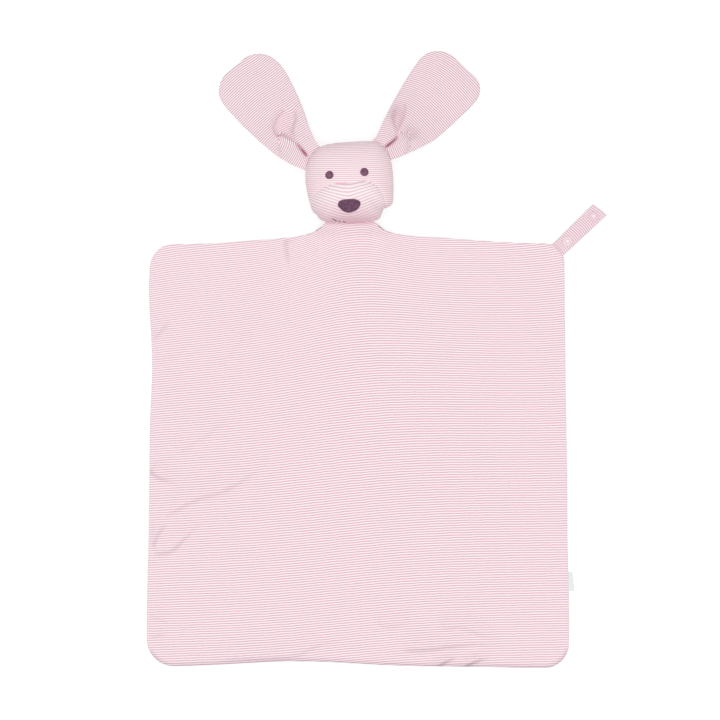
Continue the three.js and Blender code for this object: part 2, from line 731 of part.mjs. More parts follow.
function snapSocket() {
  const recess = BULB_DIAMETER / 2 + GAP;
  const wall = recess + SOCKET_WALL;
  const floor = flangeUnder + FLANGE_THICK;
  const top = flangeUnder + SNAP_HEIGHT;
  return revolve([
    ...flangeProfile(),
    [wall, floor],
    [wall, top - edgeBreak],
    [wall - edgeBreak, top],
    [recess, top],
    [recess, floor],
    [postHole, floor],
    [postHole, flangeUnder],
  ]);
}

// Side tab: a folded ribbon, sewn in between the two layers at the right edge

const TAB_STEPS = 4;
const tabEdge = halfWidthAt(TAB_Y);
const tabTop = rootHeight + 3 * TAB_THICK;

function tabPassage() {
  const length = TAB_ROOT + 2 * GAP;
  const centre = new THREE.Vector3(tabEdge + GAP - length / 2, TAB_Y, (rootHeight + tabTop) / 2);
  return solidOf(box(length, TAB_WIDTH + 2 * GAP, tabTop - rootHeight + 2 * GAP, centre));
}

function labelRoot() {
  const centre = new THREE.Vector3(tabEdge - (TAB_ROOT + GAP) / 2, TAB_Y, rootHeight + TAB_THICK);
  return box(TAB_ROOT - GAP, TAB_WIDTH, 2 * TAB_THICK, centre);
}

function sideLabel() {
  const start = tabEdge + GAP;
  const end = tabEdge + TAB_LENGTH;
  const shape = new THREE.Shape();
  shape.moveTo(start, rootHeight);
  shape.lineTo(end - TAB_THICK, rootHeight);
  shape.quadraticCurveTo(end, rootHeight, end, (rootHeight + tabTop) / 2);
  shape.quadraticCurveTo(end, tabTop, end - TAB_THICK, tabTop);
  shape.lineTo(start, tabTop);
  shape.lineTo(start, tabTop - TAB_THICK);
  shape.lineTo(end - 2 * TAB_THICK, tabTop - TAB_THICK);
  shape.lineTo(end - 2 * TAB_THICK, rootHeight + TAB_THICK);
  shape.lineTo(start, rootHeight + TAB_THICK);
  shape.closePath();
  const ribbonLoop = prism(shape, TAB_WIDTH, TAB_STEPS);
  return ribbonLoop.rotateX(degrees(90)).translate(0, TAB_Y + TAB_WIDTH / 2, 0);
}

// Assembly

function material(color, roughness) {
  return new THREE.MeshStandardMaterial({ color, roughness, metalness: 0 });
}

const jersey = () => material(0xf2dde3, 0.9);
const plumThread = () => material(0x6c465d, 0.7);
const darkThread = () => material(0x8f6f80, 0.8);
const filling = () => material(0xf7f5f0, 0.95);
const plastic = () => material(0xeeeaec, 0.35);
const ribbon = () => material(0xf3f1f2, 0.6);

const lovey = new THREE.Group();

function add(name, geometry, look) {
  const mesh = new THREE.Mesh(geometry, look);
  mesh.name = name;
  lovey.add(mesh);
  return mesh;
}

add('blanket_front', blanketFront(), jersey());
add('blanket_back', blanketBack(), jersey());
add('neck_front', neckCloth(true), jersey());
add('neck_back', neckCloth(false), jersey());

add('face_panel', facePanel(), jersey());
add('muzzle_panel', muzzlePanel(), jersey());
add('head_back_left', headBack(-1), jersey());
add('head_back_right', headBack(1), jersey());
add('head_stuffing', headStuffing(), filling());
add('left_eye', eye(-1), plumThread());
add('right_eye', eye(1), plumThread());
add('nose', nose(), plumThread());
add('closing_stitches', closingStitches(), darkThread());

for (const [side, ear] of Object.entries(EARS)) {
  add(`ear_${side}_front`, earPanel(ear, true), jersey());
  add(`ear_${side}_back`, earPanel(ear, false), jersey());
  add(`ear_${side}_pleat`, earPleat(ear), jersey());
}

const strap = new THREE.Group();
strap.position.set(strapSeam.x, strapSeam.y, 0);
strap.rotation.z = degrees(STRAP_ANGLE);
lovey.add(strap);

const tipStud = STUD_FROM_SEAM + STUDS_APART;
const baseStart = STRAP_SEAM_LENGTH + GAP / 2;
const foldStart = foldAlong - foldLength / 2;
const foldEnd = foldAlong + foldLength / 2;
const strapPieces = [
  ['strap_root', strapPiece(-STRAP_ROOT, -GAP / 2, [], 0), jersey()],
  ['strap_seam_cloth', strapPiece(GAP / 2, STRAP_SEAM_LENGTH - GAP / 2, [], 0), jersey()],
  ['strap_base', strapPiece(baseStart, foldStart - GAP / 2, [STUD_FROM_SEAM], 0), jersey()],
  ['strap_fold_cloth', strapPiece(foldStart + GAP / 2, foldEnd - GAP / 2, [], 0), jersey()],
  ['strap_tip', strapPiece(foldEnd + GAP / 2, STRAP_LENGTH, [tipStud], STRAP_TIP_RADIUS), jersey()],
  ['snap_stud', snapStud().translate(STUD_FROM_SEAM, 0, 0), plastic()],
  ['snap_stud_cap', cap(flangeUnder + SNAP_HEIGHT - GAP).translate(STUD_FROM_SEAM, 0, 0), plastic()],
  ['snap_socket', snapSocket().translate(tipStud, 0, 0), plastic()],
  ['snap_socket_cap', cap(flangeUnder + FLANGE_THICK - GAP).translate(tipStud, 0, 0), plastic()],
];
for (const [name, geometry, look] of strapPieces) strap.add(add(name, geometry, look));

add('label_root', labelRoot(), ribbon());
add('side_label', sideLabel(), ribbon());

export default lovey;
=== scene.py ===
# A baby's comfort blanket: a square double layer of striped jersey that lies flat on its back,
# with a stuffed animal head at its top edge, two paddle ears, a strap with a press stud at one
# corner and a small plain tab at one side. All sizes are in metres. Left and right are as seen
# from the front.

import math
from collections import namedtuple

import bmesh
import bpy
import numpy as np
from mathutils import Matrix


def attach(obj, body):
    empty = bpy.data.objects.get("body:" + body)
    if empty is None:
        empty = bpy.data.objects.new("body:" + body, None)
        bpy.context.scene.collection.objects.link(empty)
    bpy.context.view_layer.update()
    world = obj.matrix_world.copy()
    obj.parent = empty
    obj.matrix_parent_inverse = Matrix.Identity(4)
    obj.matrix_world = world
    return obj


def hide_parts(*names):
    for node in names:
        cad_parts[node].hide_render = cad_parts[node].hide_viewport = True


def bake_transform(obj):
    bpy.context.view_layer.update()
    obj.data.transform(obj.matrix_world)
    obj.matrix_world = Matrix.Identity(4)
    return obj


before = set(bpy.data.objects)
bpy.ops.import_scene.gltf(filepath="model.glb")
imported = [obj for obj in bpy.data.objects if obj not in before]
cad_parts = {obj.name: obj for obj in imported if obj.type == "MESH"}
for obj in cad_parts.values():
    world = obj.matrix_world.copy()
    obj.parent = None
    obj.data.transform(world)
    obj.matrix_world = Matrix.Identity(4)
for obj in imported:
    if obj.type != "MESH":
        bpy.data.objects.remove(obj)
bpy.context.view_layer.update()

# Camera, light and floor
VIEW_WIDTH = 0.648
VIEW_X = 0.0018
VIEW_Y = 0.0864
CAMERA_HEIGHT = 20.0
SENSOR = 0.036
CLIP_END = 100.0
SUN_STRENGTH = 1.7
SUN_SPREAD = 45.0  # degrees
SUN_WAY = (-0.02, -0.06, 1.0)
SKY_LIGHT = 0.5
FLOOR_SIZE = 30.0
FLOOR_DROP = 0.0004
FLOOR_GLOW = 0.76
FLOOR_SHADE = 0.28
FLOOR_WHITE = 0.9

# Blanket
TOP_WIDTH = 0.371
BOTTOM_WIDTH = 0.379
HEIGHT = 0.379
CORNER = 0.02
STRAP_CORNER = 0.017
LEFT_CORNER = 0.0245
RIGHT_CORNER = 0.0215
RIM_FADE = (0.006, 0.020)  # where the turned-in allowance has run out
ROLL = 0.0032
SEAM_Z = 0.0025
RIM_TOP_Z = 0.0035
FRONT_Z = 0.0026
BACK_Z = 0.0002
FRONT_STEP = 0.002
BACK_STEP = 0.009
BACK_FINE = 0.024
RIM_LINES = (0.0, 0.0001, 0.0004, 0.0009, 0.0018, 0.0032, 0.0048, 0.0066, 0.0088, 0.0110)
WAVE_REACH = (0.06, 0.175)
UNDULATION = 0.0005
UNDULATION_START = (0.003, 0.014)
LONG_SWAY = 0.11
SHORT_SWAY = 0.045
SHORT_SWAY_SHARE = 0.6
CREASE_LIFT = 1.3
CREASE_START = (0.0005, 0.006)
# Painted shade at the foot of each fold of the blanket
CREASE_SHADE = 0.2
# Painted shade along the blanket's lowest edge
BOTTOM_SHADE = 0.34
BOTTOM_SHADE_WIDTH = 0.0045
BOTTOM_SHADE_HEIGHTS = (0.010, 0.020)  # above the blanket's lowest edge
STRAP_BUMP = 0.0014
STRAP_BUMP_REACH = 0.016

# Neck
NECK_X = -0.007
NECK_HALF_WIDTH = 0.0225
NECK_RISE = 0.02
NECK_SWEEP = 0.014
NECK_LIFT = 0.009
NECK_LIFT_WIDTH = 0.038
NECK_LIFT_LENGTH = 0.034
NECK_CUT_Y = 0.197
NECK_SEAM_Y = 0.2095
NECK_TUCK = 0.0025
NECK_OPEN = (0.0195, 0.0255)
NECK_FRONT_END = 0.0065
NECK_BACK_END = 0.01
NECK_END_REACH = (0.195, 0.211)
NECK_FULL_SHARE = 0.6
NECK_SEAM_SHARE = 0.75  # of the front's lift
NECK_BACK_SHARE = 0.5
# Painted shade where the neck's cloth meets the chin
NECK_SHADE = 0.3
NECK_SHADE_Y = (0.2065, 0.2100)

# Head
HEAD_X = -0.0076
HEAD_Y = 0.2465
HEAD_HALF_WIDTH = 0.04
HEAD_HALF_HEIGHT = 0.037
HEAD_SEAM_Z = 0.019
HEAD_FRONT = 0.028
HEAD_BACK = 0.0188
FACE_ROUNDNESS = 2.3
FACE_SPAN = 0.055
NAPE_ROUNDNESS = 2.8
NAPE_BLUNTNESS = 0.45
MUZZLE_X = -0.0091
MUZZLE_Y = 0.2195
MUZZLE_HALF_WIDTH = 0.0335
MUZZLE_HALF_HEIGHT = 0.0275
MUZZLE_BULGE = 0.008
MUZZLE_BLUNTNESS = 0.75
RAY_Y = 0.226
RAYS = 256
HEAD_STEP = 0.0018
NAPE_STEPS = 60
SEAM_DEPTH = 0.001
SEAM_WIDTH = 0.0013
LESSER_SEAM_SHARE = 0.8
ARCH_END_SHARE = 0.9  # of the muzzle's half width, where its seam runs out on the left
PUCKER = 0.00022
PUCKER_PITCH = 0.0055
PUCKER_REACH = 0.0045
# Painted shade, deep pink, under the chin
CHIN_SHADE = 0.4
CHIN_Y = (0.208, 0.238)
CHIN_WIDTH = 0.036
HEAD_OUTLINE_SHARES = (
    (0.03, 0.98), (0.36, 1), (0.6, 0.98), (0.8, 0.81), (0.93, 0.54), (0.99, 0.1), (0.99, -0.43),
    (0.951, -0.557), (0.87, -0.62), (0.78, -0.66), (0.745, -0.73), (0.73, -0.78), (0.607, -0.93),
    (0, -1), (-0.576, -0.96), (-0.756, -0.79), (-0.857, -0.667), (-0.97, -0.2), (-1, 0.15),
    (-0.97, 0.4), (-0.86, 0.66), (-0.66, 0.86), (-0.34, 0.95),
)
MUZZLE_SEAM_SHARES = (
    (-0.94, 0.46), (-0.78, 0.69), (-0.45, 0.89), (-0.13, 0.93), (0.1, 0.97), (0.43, 1),
    (0.65, 0.95), (0.82, 0.79), (0.94, 0.57), (1, 0.3), (1.04, 0), (1.05, -0.6), (0.5, -1.3),
    (-0.5, -1.3), (-1.1, -0.6), (-1.08, 0.1),
)

# Embroidery
EYE_DIAMETER = 0.0075
EYE_PAD = 0.0009
EYES_APART = 0.0315
EYES_X = -0.01
EYES_Y = 0.2539
EYES_TILT = 4.9  # degrees
EYE_THREADS_TILT = 62.0  # degrees
NOSE_WIDTH = 0.0202
NOSE_HEIGHT = 0.0126
NOSE_X = -0.0079
NOSE_Y = 0.2247
NOSE_PAD = 0.0014
THREAD_HALF_WIDTH = 0.00027
THREAD_HALF_HEIGHT = 0.00022
THREAD_PITCH = 0.00043
THREAD_DIVE = 0.0004
THREAD_TWIST = 0.0011
THREAD_UNEVEN = 0.00016
THREAD_STEPS = 12
THREAD_END_SHARE = 0.02
SATIN_ROUNDNESS = 2.6
UNDERLAY_SHARE = 0.96  # of the pad's height
UNDERLAY_STEPS = 12
RING_STEPS = 48
NOSE_SHARES = (
    (-0.26, 0.97), (0.1, 1), (0.46, 1), (0.75, 0.9), (0.94, 0.68), (1, 0.32), (0.91, -0.17),
    (0.72, -0.53), (0.46, -0.79), (0, -1), (-0.36, -0.88), (-0.62, -0.65), (-0.94, -0.17),
    (-1, 0.18), (-0.94, 0.55), (-0.8, 0.8), (-0.55, 0.91),
)
STITCH_HALF_WIDTH = 0.00055
STITCH_HALF_HEIGHT = 0.0003
STITCHES = (
    ((-0.0232, 0.2137), (-0.0211, 0.2124), (-0.019, 0.2112)),
    ((-0.017, 0.2114), (-0.0162, 0.2108)),
    ((-0.0136, 0.211), (-0.0122, 0.2104), (-0.0112, 0.2108)),
)

# Ears
EAR_HALF_WIDTH = 0.031
EAR_TIP_CORNER = 0.02
EAR_BASE_HEIGHT = 0.013
EAR_LANDING = 0.068
EAR_PUFF = 0.0016
EAR_PUFF_FADE_SHARES = (0.85, 1)
EAR_PLEAT_DEPTH = 0.005
EAR_PLEAT_FADE = 0.034
EAR_ROOT = 0.007
EAR_THICK = 0.003
EAR_STEP = 0.0013
EAR_COLUMNS = 60
EAR_ROLL = 0.0026
EAR_LOWEST = 0.0003
# Painted shade on an ear's shaded spots
EAR_SPOT_SHADE = 0.21
EAR_LEAST_THICK = 0.0016
EAR_UNDULATION = 0.0005
EAR_SWAY = 0.05
EAR_BACK_SHARE = 0.9  # of the folds' depth
LEFT_FULL_SHARES = (
    (-0.065, 0.38), (0, 0.49), (0.04, 0.56), (0.075, 0.62), (0.11, 0.66), (0.15, 0.71),
    (0.19, 0.75), (0.225, 0.78), (0.37, 0.86), (0.45, 0.9), (0.52, 0.93), (0.6, 0.955),
    (0.75, 0.975), (0.9, 0.97), (1, 0.95),
)
LEFT_STRAIGHT_SHARES = (
    (-0.065, 0.36), (0, 0.36), (0.075, 0.37), (0.11, 0.4), (0.15, 0.44), (0.19, 0.48),
    (0.225, 0.52), (0.3, 0.63), (0.37, 0.72), (0.45, 0.81), (0.52, 0.88), (0.6, 0.95), (0.67, 1),
    (0.75, 1.03), (0.82, 1.01), (0.9, 0.98), (1, 0.95),
)
RIGHT_FULL_SHARES = (
    (-0.065, 0.34), (0, 0.43), (0.038, 0.51), (0.077, 0.565), (0.115, 0.62), (0.153, 0.67),
    (0.19, 0.726), (0.23, 0.774), (0.306, 0.863), (0.383, 0.935), (0.46, 0.96), (0.536, 0.984),
    (0.61, 1), (0.77, 1.03), (0.84, 1.02), (1, 1),
)
RIGHT_STRAIGHT_SHARES = (
    (-0.065, 0.37), (0, 0.37), (0.04, 0.37), (0.077, 0.41), (0.115, 0.45), (0.153, 0.5),
    (0.19, 0.54), (0.23, 0.58), (0.306, 0.66), (0.383, 0.725), (0.46, 0.79), (0.536, 0.85),
    (0.61, 0.905), (0.69, 0.955), (0.77, 0.99), (0.84, 0.99), (1, 0.95),
)
# Hollows in millimetres: distance from the base, outer edge and inner edge
LEFT_HOLLOW = (
    (16, 2.6, 2.4), (18.5, 2.9, 2), (24, 4.9, 0), (29.5, 6.9, -3.5), (32.6, 8.5, -8.5),
    (35, 12.5, -12.5), (40, 11.5, -16), (43.2, 9.5, -17.5), (46, 4.5, -17),
    (47.5, -1, -14), (48.5, -7, -9),
)
RIGHT_HOLLOW = (
    (15, 2.6, 2.3), (18, 1.6, -0.5), (21, 0, -4), (25, -2, -12.5), (30, -3.5, -16.5),
    (35, -5.5, -18), (39, -8, -19), (43, -12, -16),
)
LEFT_CREASE = ((0, 3), (18.5, 2.6), (29.5, 6.9))
RIGHT_CREASE = ((4, 1.2), (10, 2.2), (16, 2.6), (21, -0.5))
LEFT_FLAP = ((8, 35), (12, 32.5), (16, 28.5), (20, 21), (24, 15))
RIGHT_FLAP = ((3, 22), (7, 26.5), (10, 26), (13, 22), (17, 15), (20, 9))

# Strap and press stud
STRAP_WIDTH = 0.0157
STRAP_TAPER = 0.0016
STRAP_SHIFT = 0.0005
STRAP_SKEW = 0.15
STRAP_LENGTH = 0.0517
STRAP_ANGLE = 43.7  # degrees
STRAP_ROOT = 0.006
STRAP_Z = 0.0033
STRAP_HALF_THICK = 0.001
STRAP_TIP_RADIUS = 0.0008
STRAP_STEP = 0.0007
STRAP_COLUMNS = 24
STRAP_ROLL = 0.0011
STRAP_UNDULATION = 0.00018
STRAP_SWAY = 0.016
STRAP_ARCH = 0.0008  # of its stripes
# Painted shade along the strap where it comes out of the blanket's seam
SEAM_SHADE = 0.3
SEAM_LINE = 0.0004
STUD_S = 0.0109
SOCKET_S = 0.0432
DIMPLE_REACH = 0.0055
DIMPLE_SHARE = 0.15  # of the strap's thickness
FLOP_SPAN = (-0.0015, 0.0035)
FOLD_SPAN = (0.0223, 0.0318)
SNAP_SIDES = 48
# Out from the axis, where the painted highlight in the middle of each moulded part gives way
STUD_MIDDLE = (0.0005, 0.0012)

# Side tab
TAB_Y = -0.113
TAB_X = 0.18869
TAB_WIDTH = 0.017
TAB_LENGTH = 0.0046
TAB_ROOT = 0.005
TAB_Z = 0.0029
TAB_HALF_THICK = 0.0006
TAB_ROOT_Z = 0.0025
TAB_ROOT_HALF_THICK = 0.0002
TAB_FREE = 0.0015
TAB_CURL = 0.0005
TAB_CORNER_LIFT = 0.0006
TAB_CORNER = (-0.006, 0.004)  # its place across the tab, and its reach
TAB_UPPER_SLANT = 0.0006
TAB_UPPER = (0.002, 0.0085)  # where across the tab the slant starts and is full
TAB_LOWER_SLANT = 0.0012
TAB_LOWER = (0, 0.008)
TAB_STEPS = 12
TAB_COLUMNS = 24
TAB_TURNS = 8

# Cloth: the width of one pink and white pair of stripes, of one column of knit loops and of one
# thread of ribbon
BLANKET_PITCH = 0.0021
HEAD_PITCH = 0.00185
MUZZLE_PITCH = 0.0024
EAR_PITCH = 0.00185
STRAP_PITCH = 0.00197
WALE = 0.0009
RIBBON_PITCH = 0.0005

# Relief of the finest texture
LOOP_RELIEF = 0.00018
PLY_RELIEF = 0.0001
WEAVE_RELIEF = 0.00008
PLASTIC_RELIEF = 0.00006

MILLI = 0.001
SAME_PLACE = 1e-6
NO_LENGTH = 1e-7
SHARP_EDGE = 1.1  # radians
CURVE_STEPS = 12
FINE_STEPS = 40
COARSE_STEPS = 8

# blush is how much painted fold shade the cloth takes; on the press stud it is 0 at the painted
# highlight in the middle. shade is how much grey painted shade it takes
Patch = namedtuple("Patch", "points stripe wale flip blush shade", defaults=(0.0, 0.0))


# Numbers and curves

def smooth(value, start, end):
    share = np.clip((value - start) / (end - start), 0, 1)
    return share * share * (3 - 2 * share)


def within(value, start, full, waning, end):
    """Rises between the first two places and falls back between the last two."""
    return smooth(value, start, full) * (1 - smooth(value, waning, end))


def unit(rows):
    return rows / np.linalg.norm(rows, axis=1)[:, None]


def turns(count):
    """The angles of a full turn in that many steps."""
    return 2 * math.pi * np.arange(count + 1) / count


def heading(degrees):
    return np.array((math.cos(math.radians(degrees)), math.sin(math.radians(degrees))))


def hump(value, middle, width):
    return np.exp(-(((value - middle) / width) ** 2))


def quarter(share):
    """Rises like a quarter of a circle from 0 to 1."""
    return np.sqrt(1 - (1 - np.clip(share, 0, 1)) ** 2)


def through(points, closed, steps):
    """A smooth curve through the points, with that many steps from each to the next."""
    points = np.array(points, float)
    count = len(points)
    spans = count if closed else count - 1
    t = np.arange(steps)[:, None] / steps
    out = []
    for i in range(spans):
        picks = [(i + k) % count if closed else min(max(i + k, 0), count - 1) for k in (-1, 0, 1, 2)]
        a, b, c, d = points[picks]
        out.append(
            0.5 * (2 * b + (c - a) * t + (2 * a - 5 * b + 4 * c - d) * t**2
                   + (3 * b - a - 3 * c + d) * t**3)
        )
    if not closed:
        out.append(points[-1:])
    return np.concatenate(out)


def share_curve(table, share):
    curve = through(table, False, CURVE_STEPS)
    return np.interp(share, curve[:, 0], curve[:, 1])


def lines_between(start, end, step, rim_start=True, rim_end=True):
    """Grid lines that lie close together along a rim."""
    low = np.array(RIM_LINES if rim_start else RIM_LINES[:1])
    high = np.array(RIM_LINES if rim_end else RIM_LINES[:1])
    inner_start, inner_end = start + low[-1], end - high[-1]
    cells = max(int(round((inner_end - inner_start) / step)), 1)
    inner = np.linspace(inner_start, inner_end, cells + 1)
    return np.concatenate([start + low[:-1], inner, (end - high[:-1])[::-1]])


def sway(x, y, length, seed):
    """A soft irregular wave between about -1 and 1."""
    turn = 2 * math.pi / length
    total = np.zeros(np.broadcast(x, y).shape)
    for k in range(4):
        way = seed + 2.4 * k
        pace = turn * (0.7 + 0.22 * k)
        total = total + np.sin(pace * (x * math.cos(way) + y * math.sin(way)) + 1.7 * way)
    return total / 4


def corner_cut(distance, radius):
    reach = np.maximum(radius - distance, 0)
    return radius - np.sqrt(np.maximum(radius**2 - reach**2, 0))


def rounded_distance(sides, ends, radius):
    """Distance in from the edge of a shape with rounded corners."""
    across = np.maximum(radius - sides, 0)
    along = np.maximum(radius - ends, 0)
    inside = radius - np.hypot(across, along)
    return np.where((across > 0) & (along > 0), inside, np.minimum(sides, ends))


# Pieces

def grid_faces(rows, columns, first, flip):
    corner = first + np.arange(rows - 1)[:, None] * columns + np.arange(columns - 1)[None, :]
    quads = np.stack([corner, corner + 1, corner + columns + 1, corner + columns], axis=-1)
    quads = quads.reshape(-1, 4)
    return quads[:, ::-1] if flip else quads


def add_object(name, data):
    thing = bpy.data.objects.new(name, data)
    bpy.context.scene.collection.objects.link(thing)
    return thing


def new_piece(name, points, faces, values, material):
    mesh = bpy.data.meshes.new(name)
    mesh.from_pydata(points, [], faces)
    for label, numbers in values.items():
        mesh.attributes.new(label, "FLOAT", "POINT").data.foreach_set("value", numbers)
    shape = bmesh.new()
    shape.from_mesh(mesh)
    bmesh.ops.remove_doubles(shape, verts=shape.verts, dist=SAME_PLACE)
    bmesh.ops.dissolve_degenerate(shape, edges=shape.edges, dist=NO_LENGTH)
    for edge in shape.edges:
        edge.smooth = edge.calc_face_angle(0.0) < SHARP_EDGE
    shape.to_mesh(mesh)
    shape.free()
    mesh.polygons.foreach_set("use_smooth", [True] * len(mesh.polygons))
    mesh.materials.append(material)
    return add_object(name, mesh)


def sewn_piece(name, patches, material, nodes, body=None):
    """One mesh of several grids, joined where their edges meet, in place of the named solids."""
    points, faces, first = [], [], 0
    values = {"stripe": [], "wale": [], "blush": [], "shade": []}
    for patch in patches:
        rows, columns = patch.points.shape[:2]
        points.append(patch.points.reshape(-1, 3))
        faces.append(grid_faces(rows, columns, first, patch.flip))
        for label, numbers in values.items():
            numbers.append(np.broadcast_to(getattr(patch, label), (rows, columns)).reshape(-1))
        first += rows * columns
    values = {label: np.concatenate(numbers) for label, numbers in values.items()}
    piece = new_piece(name, np.concatenate(points).tolist(), np.concatenate(faces).tolist(),
                      values, material)
    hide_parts(*nodes)
    if body:
        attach(piece, body)
    return piece


def stack(x, y, z):
    return np.stack(np.broadcast_arrays(x, y, z), axis=-1).astype(float)


def pad_patches(front, back, stripe, wale, cap_end, blush=0.0, shade=0.0):
    """A front and a back over the same grid, closed at the first row and if wanted at the last."""
    patches = [Patch(front, stripe, wale, False, blush, shade), Patch(back, stripe, wale, True)]
    ends = [(0, True)] + ([(-1, False)] if cap_end else [])
    for row, flip in ends:
        cap = np.stack([front[row], back[row]])
        patches.append(Patch(cap, np.stack([stripe[row]] * 2), np.stack([wale[row]] * 2), not flip))
    return patches


# Materials

# Lumps of noise in a metre
GRAIN = {"cloud": 45.0, "drift": 90.0, "blotch": 520.0, "glint": 800.0, "plastic": 900.0,
         "fibre": 1500.0, "fuzz": 2500.0}

# Where a node that mixes colours has its share, its two colours and its result
MIX_INPUTS, MIX_RESULT = (0, 6, 7), 2


def srgb(red, green, blue):
    shares = (red / 255, green / 255, blue / 255)
    linear = [c / 12.92 if c <= 0.04045 else ((c + 0.055) / 1.055) ** 2.4 for c in shares]
    return (*linear, 1.0)


def fill(tree, node, inputs):
    """Puts numbers, colours or other nodes' outputs on a node's inputs."""
    for key, value in inputs:
        if isinstance(value, bpy.types.NodeSocket):
            tree.links.new(value, node.inputs[key])
        else:
            node.inputs[key].default_value = value


def add_node(tree, kind, inputs=(), **settings):
    node = tree.nodes.new(kind)
    for label, value in settings.items():
        setattr(node, label, value)
    fill(tree, node, inputs)
    return node.outputs


class Recipe:
    """A material under construction, whose steps are nodes."""

    def __init__(self, name):
        self.material = bpy.data.materials.new(name)
        self.material.use_nodes = True
        self.tree = self.material.node_tree
        self.shader = self.tree.nodes["Principled BSDF"]

    def math(self, operation, *values):
        return add_node(self.tree, "ShaderNodeMath", enumerate(values), operation=operation)[0]

    def wave(self, value):
        return self.math("SINE", self.math("MULTIPLY", value, 2 * math.pi))

    def ranged(self, *values):
        """The value, its lowest and highest, and the lowest and highest to turn them into."""
        return add_node(self.tree, "ShaderNodeMapRange", enumerate(values))[0]

    def mix(self, *values):
        """The share of the second colour, and the two colours."""
        inputs = zip(MIX_INPUTS, values)
        return add_node(self.tree, "ShaderNodeMix", inputs, data_type="RGBA")[MIX_RESULT]

    def value_of(self, label):
        return add_node(self.tree, "ShaderNodeAttribute", attribute_name=label)["Fac"]

    def noise(self, grain, detail=2.0):
        place = add_node(self.tree, "ShaderNodeTexCoord")["Object"]
        inputs = {"Vector": place, "Scale": GRAIN[grain], "Detail": detail}
        return add_node(self.tree, "ShaderNodeTexNoise", inputs.items())["Fac"]

    def bump(self, height, strength, distance):
        inputs = {"Height": height, "Strength": strength, "Distance": distance}
        normal = add_node(self.tree, "ShaderNodeBump", inputs.items())[0]
        fill(self.tree, self.shader, [("Normal", normal)])

    def finish(self, colour, roughness, specular, sheen=0.0):
        looks = {"Base Color": colour, "Roughness": roughness, "Specular IOR Level": specular,
                 "Sheen Weight": sheen, "Sheen Roughness": 0.5}
        fill(self.tree, self.shader, looks.items())
        return self.material


WHITE = srgb(254, 247, 249)
HEAD_WHITE = srgb(255, 247, 249)
# Painted shade, pinkish, in the cloth's folds
FOLD_SHADE_PINK = srgb(205, 132, 152)  # where the cloth lies in a fold
# Painted shade, grey, at the feet of the blanket's folds, along its lowest edge and on an ear's shaded
# spots
SHADE = srgb(150, 128, 138)  # at the foot of a fold and in a hollow
LINT = srgb(222, 200, 208)
CLOUD = srgb(238, 218, 225)
COURSES = 4  # rows of loops in one pair of stripes
STRIPE_EDGE = 0.55


def jersey_material(name, pink, white, pale=0.0):
    """Fine pink and white stripes of plain knit, whose loops leave the stripes' edges ragged."""
    r = Recipe(name)
    stripe = r.value_of("stripe")
    wale = r.value_of("wale")
    drift = r.ranged(r.noise("drift"), 0.3, 0.7, -0.10, 0.10)
    ragged = r.math("MULTIPLY", r.math("PINGPONG", wale, 0.5), 0.6 / COURSES)
    lane = r.math("ADD", r.math("ADD", stripe, drift), ragged)
    share = r.ranged(r.wave(lane), -STRIPE_EDGE - pale, STRIPE_EDGE - pale, 0.0, 1.0)
    mottle = r.ranged(r.noise("fibre", 3.0), 0.3, 0.7, 0.0, 0.12)
    mottled = r.mix(mottle, r.mix(share, pink, white), LINT)
    clouded = r.mix(r.ranged(r.noise("cloud"), 0.35, 0.7, 0.0, 0.08), mottled, CLOUD)
    # Painted shade: grey where the shade attribute asks for it, then pinkish in the folds
    shaded = r.mix(r.value_of("shade"), clouded, SHADE)
    colour = r.mix(r.value_of("blush"), shaded, FOLD_SHADE_PINK)
    legs = r.math("ABSOLUTE", r.math("SINE", r.math("MULTIPLY", wale, math.pi)))
    rows = r.math("MULTIPLY", r.math("ADD", stripe, ragged), COURSES * math.pi)
    knit = r.math("ADD", legs, r.math("MULTIPLY", r.math("ABSOLUTE", r.math("SINE", rows)), 0.6))
    fuzz = r.math("ADD", knit, r.math("MULTIPLY", r.noise("fuzz"), 0.5))
    r.bump(fuzz, 0.35, LOOP_RELIEF)
    return r.finish(colour, 0.9, 0.2, 0.05)


def thread_material(name, base, light, dark):
    """Twisted thread, each strand a little different."""
    r = Recipe(name)
    each = r.mix(r.ranged(r.value_of("wale"), 0.0, 1.0, 0.0, 0.55), base, light)
    blotch = r.ranged(r.noise("blotch", 4.0), 0.42, 0.62, 0.0, 0.75)
    # Painted glints: light speckles on the thread
    glint = r.ranged(r.noise("glint"), 0.56, 0.68, 0.0, 0.6)
    colour = r.mix(glint, r.mix(blotch, each, dark), light)
    r.bump(r.wave(r.value_of("stripe")), 0.6, PLY_RELIEF)
    return r.finish(colour, 0.55, 0.4, 0.1)


def plastic_material():
    """Clear white plastic, pinkish where the thin flange lets the cloth shine through, and white in
    the middle as a painted highlight.
    """
    r = Recipe("press_stud")
    grain = r.noise("plastic")
    thin = r.mix(r.ranged(grain, 0.3, 0.7, 0.0, 0.5), srgb(240, 218, 224), srgb(228, 204, 212))
    # White where blush is 0: a painted highlight
    colour = r.mix(r.value_of("blush"), srgb(252, 248, 250), thin)
    r.bump(grain, 0.1, PLASTIC_RELIEF)
    return r.finish(colour, 0.5, 0.25)


def ribbon_material():
    r = Recipe("ribbon")
    weave = r.math("ADD", r.wave(r.value_of("wale")), r.wave(r.value_of("stripe")))
    colour = r.mix(r.ranged(weave, -2.0, 2.0, 0.0, 1.0), srgb(222, 221, 223), srgb(239, 238, 239))
    r.bump(weave, 0.3, WEAVE_RELIEF)
    return r.finish(colour, 0.45, 0.4, 0.1)


JERSEY = jersey_material("striped_jersey", srgb(228, 181, 195), WHITE)
